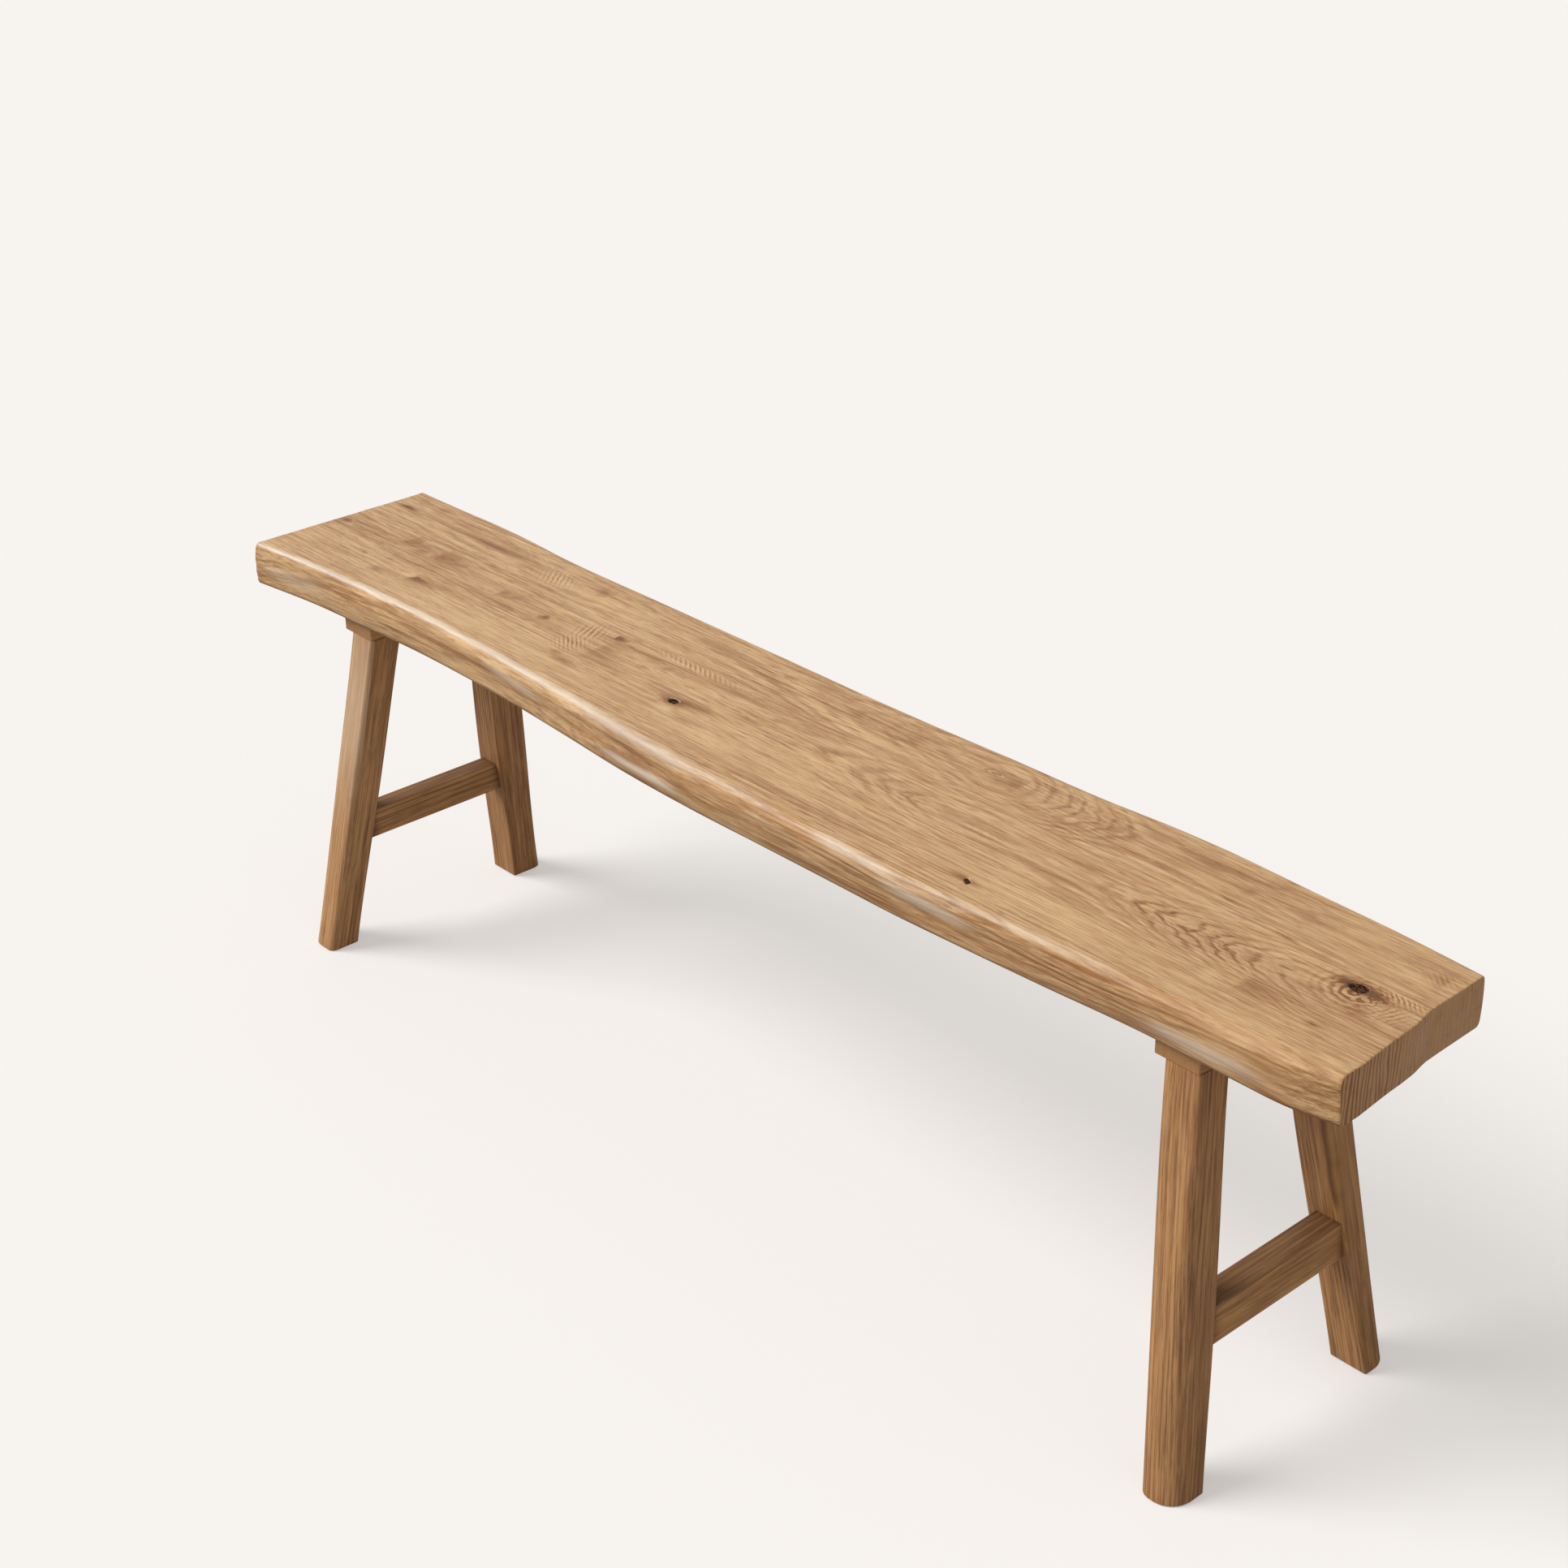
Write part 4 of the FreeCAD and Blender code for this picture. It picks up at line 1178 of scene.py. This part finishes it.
    def cap_strips(self, count: int, around: int) -> list[list[int]]:
        """List the faces that close a section: upright strips, then the swell of the edge.

        Args:
            count: how many points lie on the top.
            around: how many points the section has.

        Returns:
            The faces, as numbers around the section.
        """
        heel = count - 1 + self.round_points + self.face_points + self.heel_points
        lows = list(range(heel, heel + len(range(0, count, self.skip))))[::-1]
        strips = []
        for index in range(len(lows) - 1):
            tops = list(range(self.skip * index, self.skip * (index + 1) + 1))
            strips.append(tops + [lows[index + 1], lows[index]])
        strips[0] += list(range(lows[0] + 1, around))
        strips.append(list(range(count - 1, heel + 1)))
        return strips

    def build_filling(self, knot: FilledKnot, material: bpy.types.Material) -> bpy.types.Object:
        """Make the rough filling of a knot, a little below the top of the seat.

        Args:
            knot: the knot.
            material: its finish.

        Returns:
            The filling.
        """
        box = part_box(f"knot_filler_{knot.name}")
        turn = math.radians(knot.turn)
        angles = np.linspace(0.0, 2 * math.pi, 40, endpoint=False)
        rings = []
        for ring, share in enumerate((0.98, 0.98, 0.85, 0.70, 0.52, 0.34, 0.16)):
            far_x, far_y = knot.half_x * share * np.cos(angles), knot.half_y * share * np.sin(angles)
            x = knot.x + far_x * math.cos(turn) - far_y * math.sin(turn)
            y = knot.y + far_x * math.sin(turn) + far_y * math.cos(turn)
            crumbs = self.crumb * ripple(x, y, 3, 0.004, 0.003)
            z = self.top - self.sunk + crumbs if ring else np.full(x.shape, box[0][2])
            rings.append(np.stack([x, y, z], axis=1))
        points = np.clip(np.stack(rings), *box)
        faces = skin_rings(points, [list(range(len(angles)))])
        return mesh_piece(f"knot_filler_{knot.name}_finished", points.reshape(-1, 3), faces, material)


FRONT_KNOTS = (
    # Broad clouds and pale fields.
    Knot(-0.595, 0.014, 0.08, 0.02, brown=0.2), Knot(-0.45, 0.004, 0.11, 0.02, brown=0.16),
    Knot(-0.2, 0.0, 0.06, 0.02, brown=0.08), Knot(-0.37, -0.07, 0.22, 0.022, pale=0.55),
    Knot(0.05, 0.01, 0.05, 0.02, pale=0.25), Knot(0.28, -0.01, 0.12, 0.03, pale=0.25),
    Knot(-0.65, -0.107, 0.06, 0.005, pale=0.35), Knot(-0.25, -0.108, 0.05, 0.006, pale=0.35),
    Knot(-0.1, -0.115, 0.05, 0.008, brown=0.42), Knot(0.3, -0.121, 0.05, 0.005, pale=0.3),
    Knot(0.63, -0.105, 0.06, 0.007, pale=0.4), Knot(-0.04, -0.065, 0.13, 0.024, pale=0.4),
    Knot(0.12, -0.075, 0.06, 0.02, pale=0.2), Knot(0.42, -0.075, 0.11, 0.022, pale=0.5),
    Knot(0.6, -0.075, 0.06, 0.018, pale=0.25), Knot(0.69, -0.025, 0.05, 0.03, brown=0.16),
    # The large knot with its rings.
    Knot(0.664, 0.019, 0.016, 0.009, brown=0.9), Knot(0.65, 0.02, 0.01, 0.005, brown=0.6),
    Knot(0.682, 0.018, 0.014, 0.005, brown=0.8), Knot(0.668, 0.01, 0.03, 0.022, lift=0.005, rings=3.4),
    # The middle knot.
    Knot(-0.112, -0.037, 0.018, 0.009, brown=0.85, lift=0.01),
    Knot(-0.086, -0.031, 0.02, 0.005, brown=0.45), Knot(-0.108, -0.053, 0.012, 0.006, pale=0.9),
    Knot(-0.077, -0.058, 0.016, 0.004, brown=0.4),
    # The small knot.
    Knot(0.33, -0.083, 0.014, 0.005, brown=0.6, lift=0.005), Knot(0.316, -0.08, 0.01, 0.006, brown=0.35),
    # The marks of the left half.
    Knot(-0.265, 0.017, 0.013, 0.006, brown=0.95, lift=0.006, sharp=1.0),
    Knot(-0.255, -0.012, 0.028, 0.018, brown=0.35, sharp=1.0),
    Knot(-0.261, -0.057, 0.018, 0.005, brown=0.55, lift=0.004),
    Knot(-0.284, -0.049, 0.007, 0.003, brown=0.5),
    Knot(-0.357, -0.005, 0.006, 0.005, brown=0.75, lift=0.004),
    Knot(-0.438, 0.003, 0.018, 0.007, brown=0.35, lift=0.004, sharp=1.0),
    Knot(-0.533, -0.042, 0.034, 0.007, brown=0.8, lift=0.005, sharp=1.0),
    Knot(-0.545, -0.041, 0.007, 0.003, pale=0.8),
    Knot(-0.584, -0.058, 0.009, 0.006, brown=0.5, lift=0.003),
    Knot(-0.622, 0.014, 0.02, 0.014, brown=0.3, lift=0.006, sharp=1.0),
    Knot(-0.577, 0.008, 0.006, 0.005, pale=0.9),
    Knot(-0.561, 0.014, 0.04, 0.016, brown=0.33, lift=0.006, sharp=1.0),
    Knot(-0.631, -0.04, 0.007, 0.003, brown=0.55), Knot(-0.665, -0.042, 0.028, 0.0025, pale=0.5),
    Knot(-0.723, -0.001, 0.01, 0.005, brown=0.8, lift=0.006),
    Knot(-0.712, -0.005, 0.006, 0.003, pale=0.8), Knot(-0.173, 0.005, 0.006, 0.004, brown=0.4),
    Knot(-0.065, 0.018, 0.05, 0.004, brown=0.35),
    # The strayed grain and the marks of the right half.
    Knot(-0.034, -0.014, 0.016, 0.005, brown=0.25, bold=0.5),
    Knot(0.032, -0.013, 0.012, 0.01, brown=0.2, bold=0.8), Knot(0.075, -0.006, 0.035, 0.009, bold=0.7),
    Knot(0.18, -0.009, 0.055, 0.013, bold=0.6), Knot(0.213, -0.014, 0.014, 0.002, pale=0.9),
    Knot(0.06, -0.087, 0.08, 0.0035, brown=0.25), Knot(0.215, -0.086, 0.04, 0.003, brown=0.3),
    Knot(0.28, -0.012, 0.04, 0.002, pale=0.9), Knot(0.28, -0.016, 0.04, 0.0018, brown=0.5),
    Knot(0.53, -0.01, 0.09, 0.02, brown=0.16, bold=1.4), Knot(0.613, -0.004, 0.014, 0.003, pale=0.9),
    Knot(0.6, -0.04, 0.034, 0.013, brown=0.45, lift=0.004, sharp=1.0),
    Knot(0.57, -0.05, 0.01, 0.009, pale=0.7), Knot(0.673, -0.05, 0.008, 0.002, brown=0.7),
)

FRONT_FLECKS = (
    Fleck(-0.296, 0.006, 0.015, 0.014, pitch=0.007, slant=0.5, strength=1.0),
    Fleck(-0.29, -0.024, 0.016, 0.014, pitch=0.007, slant=1.3, strength=1.0),
    Fleck(-0.152, 0.027, 0.045, 0.005, pitch=0.0075, slant=1.2, strength=1.0),
    Fleck(0.701, 0.028, 0.02, 0.006, pitch=0.0055, slant=1.0, strength=1.0),
    Fleck(0.708, 0.004, 0.012, 0.012, pitch=0.0055, slant=-0.4, strength=0.7),
    Fleck(0.18, -0.012, 0.045, 0.01, pitch=0.021, slant=-3.4, strength=0.4, fold=True),
    Fleck(0.53, -0.007, 0.095, 0.02, pitch=0.021, slant=-3.4, strength=0.4, fold=True),
)

# Painted highlights on the live edge, where it catches the lamps.
GLEAMS = (
    # Along the top line.
    Gleam(-0.64, 0.4487, 0.11, 0.0017, strength=1.0), Gleam(-0.43, 0.4487, 0.13, 0.0018, strength=1.0),
    Gleam(-0.24, 0.4482, 0.09, 0.0022, strength=0.9), Gleam(-0.08, 0.446, 0.085, 0.0045, strength=0.75),
    Gleam(0.06, 0.4485, 0.06, 0.0016, strength=0.35), Gleam(0.225, 0.4465, 0.05, 0.004, strength=0.65),
    Gleam(0.4, 0.448, 0.11, 0.0022, strength=0.45),
    # On the face.
    Gleam(-0.667, 0.4255, 0.05, 0.0065, strength=0.45),
    Gleam(-0.285, 0.432, 0.04, 0.0044, slope=-0.06, strength=0.7),
    Gleam(-0.072, 0.4165, 0.058, 0.0046, strength=1.0),
    Gleam(0.115, 0.4345, 0.035, 0.0035, strength=0.2),
    Gleam(0.312, 0.434, 0.045, 0.0062, slope=-0.05, strength=0.9),
    Gleam(0.605, 0.4185, 0.055, 0.0064, strength=0.8),
)

BACK_KNOTS = (
    # Broad clouds and pale fields.
    Knot(-0.6, 0.06, 0.09, 0.03, brown=0.08), Knot(-0.3, 0.06, 0.08, 0.03, pale=0.25),
    Knot(0.62, 0.08, 0.08, 0.03, pale=0.3),
    # The marks from left to right.
    Knot(-0.707, 0.071, 0.014, 0.004, brown=1.0), Knot(-0.64, 0.07, 0.06, 0.0025, brown=0.45),
    Knot(-0.545, 0.071, 0.05, 0.0045, brown=0.65), Knot(-0.47, 0.061, 0.024, 0.003, brown=0.5),
    Knot(-0.427, 0.066, 0.026, 0.014, pale=0.3), Knot(-0.365, 0.08, 0.012, 0.009, brown=0.4, lift=0.006),
    Knot(-0.075, 0.081, 0.01, 0.003, brown=0.5), Knot(-0.034, 0.09, 0.02, 0.005, brown=0.4),
    Knot(0.052, 0.074, 0.016, 0.004, brown=0.5), Knot(0.015, 0.064, 0.028, 0.002, brown=0.5),
    Knot(0.1, 0.064, 0.018, 0.002, brown=0.5), Knot(0.206, 0.078, 0.012, 0.005, rings=1.6),
    Knot(0.24, 0.076, 0.01, 0.012, brown=0.35, sharp=-1.0), Knot(0.315, 0.078, 0.06, 0.02, bold=0.75),
    Knot(0.36, 0.079, 0.016, 0.011, brown=0.3, sharp=-1.0), Knot(0.507, 0.076, 0.006, 0.008, brown=0.4),
    Knot(0.573, 0.076, 0.01, 0.005, brown=0.35), Knot(0.573, 0.04, 0.012, 0.0018, brown=0.7),
    Knot(0.506, 0.053, 0.012, 0.0018, brown=0.6),
    Knot(0.708, 0.077, 0.012, 0.009, brown=0.35, sharp=-1.0),
)

BACK_FLECKS = (
    Fleck(-0.428, 0.066, 0.022, 0.012, pitch=0.007, slant=0.8, strength=0.8),
    Fleck(0.703, 0.076, 0.012, 0.009, pitch=0.007, slant=1.2, strength=0.5),
    Fleck(0.318, 0.078, 0.05, 0.014, pitch=0.024, slant=3.0, strength=0.3, fold=True),
)


def dress(node: str, material: bpy.types.Material) -> None:
    """Give a node of the frame its finish.

    Args:
        node: the node's name.
        material: the finish.
    """
    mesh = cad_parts[node].data
    mesh.materials.clear()
    mesh.materials.append(material)
    LOG.info("%s: %s", node, material.name)


LEG_TONES = OakTones(
    pale=(0.580, 0.320, 0.140), tan=(0.400, 0.202, 0.084), brown=(0.180, 0.078, 0.028),
    dark=(0.060, 0.026, 0.012), painted_highlight=(0.720, 0.530, 0.360))
# Darker legs: partly their own darker wood, partly painted shade for light falling off to the right and
# the seat's shadow on the back legs.
DARK_LEG_TONES = OakTones(
    pale=(0.520, 0.275, 0.120), tan=(0.360, 0.176, 0.070), brown=(0.150, 0.064, 0.023),
    dark=(0.055, 0.024, 0.011))


@dataclass
class EndFrame:
    """One end frame: two splayed legs, the batten on them, the stretcher between them and its fixings."""
    end: str
    side: int
    seed: float
    tones: dict[str, OakTones]
    gleams: tuple[Gleam, ...] = ()
    streaks: tuple[Streak, ...] = ()
    foot_x: float = 0.627
    foot_y: float = 0.131
    splay_x: float = 0.0520
    splay_y: float = 0.0575
    leg_height: float = 0.385
    heart_x: float = 0.050
    heart_y: float = -0.020

    def build(self) -> None:
        """Dress the whole frame."""
        lean_x = -self.side * self.splay_x / self.leg_height
        for position, (name, across) in enumerate((("front", -1), ("back", 1))):
            leg = OakFinish(
                f"leg_oak_{name}_{self.end}", Grain.UP_THE_LEG,
                self.side * self.foot_x + self.heart_x, across * self.foot_y + self.heart_y,
                tones=self.tones[name], lean=(lean_x, -across * self.splay_y / self.leg_height),
                ring=0.0046, wander=0.006, figure=0.45, contrast=1.3, gloss=0.5, specular=0.3,
                ticks=0.5, stretch=2.2, seed=self.seed + position,
                gleams=self.gleams if name == "front" else (),
                streaks=self.streaks if name == "back" else ())
            dress(f"leg_{name}_{self.end}", leg.build())
        # The stretcher gets painted shade on its top and on its ends beside the legs.
        rail = OakFinish(
            f"stretcher_oak_{self.end}", Grain.ACROSS_SEAT, self.side * 0.66, 0.11, tones=LEG_TONES,
            ring=0.0046, wander=0.005, figure=0.5, contrast=1.4, gloss=0.55, specular=0.2,
            ticks=0.6, stretch=1.8, painted_shade=0.55, seed=self.seed + 3.0)
        dress(f"stretcher_{self.end}", rail.build())
        batten = OakFinish(
            f"batten_oak_{self.end}", Grain.ACROSS_SEAT, self.side * 0.60, 0.30, tones=LEG_TONES,
            wander=0.005, end_bold=0.2, specular=0.3, seed=self.seed + 4.0)
        dress(f"batten_{self.end}", batten.build())
        dress(f"leg_wedges_{self.end}", batten.build())
        dress(f"batten_screws_{self.end}", ScrewFinish().build())
        LOG.info("%s frame: legs, batten, stretcher and fixings", self.end)


def main() -> None:
    """Build the studio and dress the bench."""
    logging.basicConfig(level=logging.INFO)
    Studio().build()
    Seat().build()
    dress("seat_joint_dowels", OakFinish("dowel_oak", Grain.ACROSS_SEAT, 0.0, 0.3).build())
    # Painted highlight: a pale sheen on the upper front face of the left front leg.
    painted_leg_sheen = (Gleam(-0.600, 0.300, 0.200, 0.110, strength=0.60),)
    EndFrame("left", -1, 11.0, {"front": LEG_TONES, "back": DARK_LEG_TONES}, painted_leg_sheen).build()
    shake = (Streak(0.645, 0.113, 0.150, 0.200),)
    EndFrame("right", 1, 23.0, {"front": DARK_LEG_TONES, "back": DARK_LEG_TONES}, streaks=shake).build()


if __name__ == "__main__":
    main()
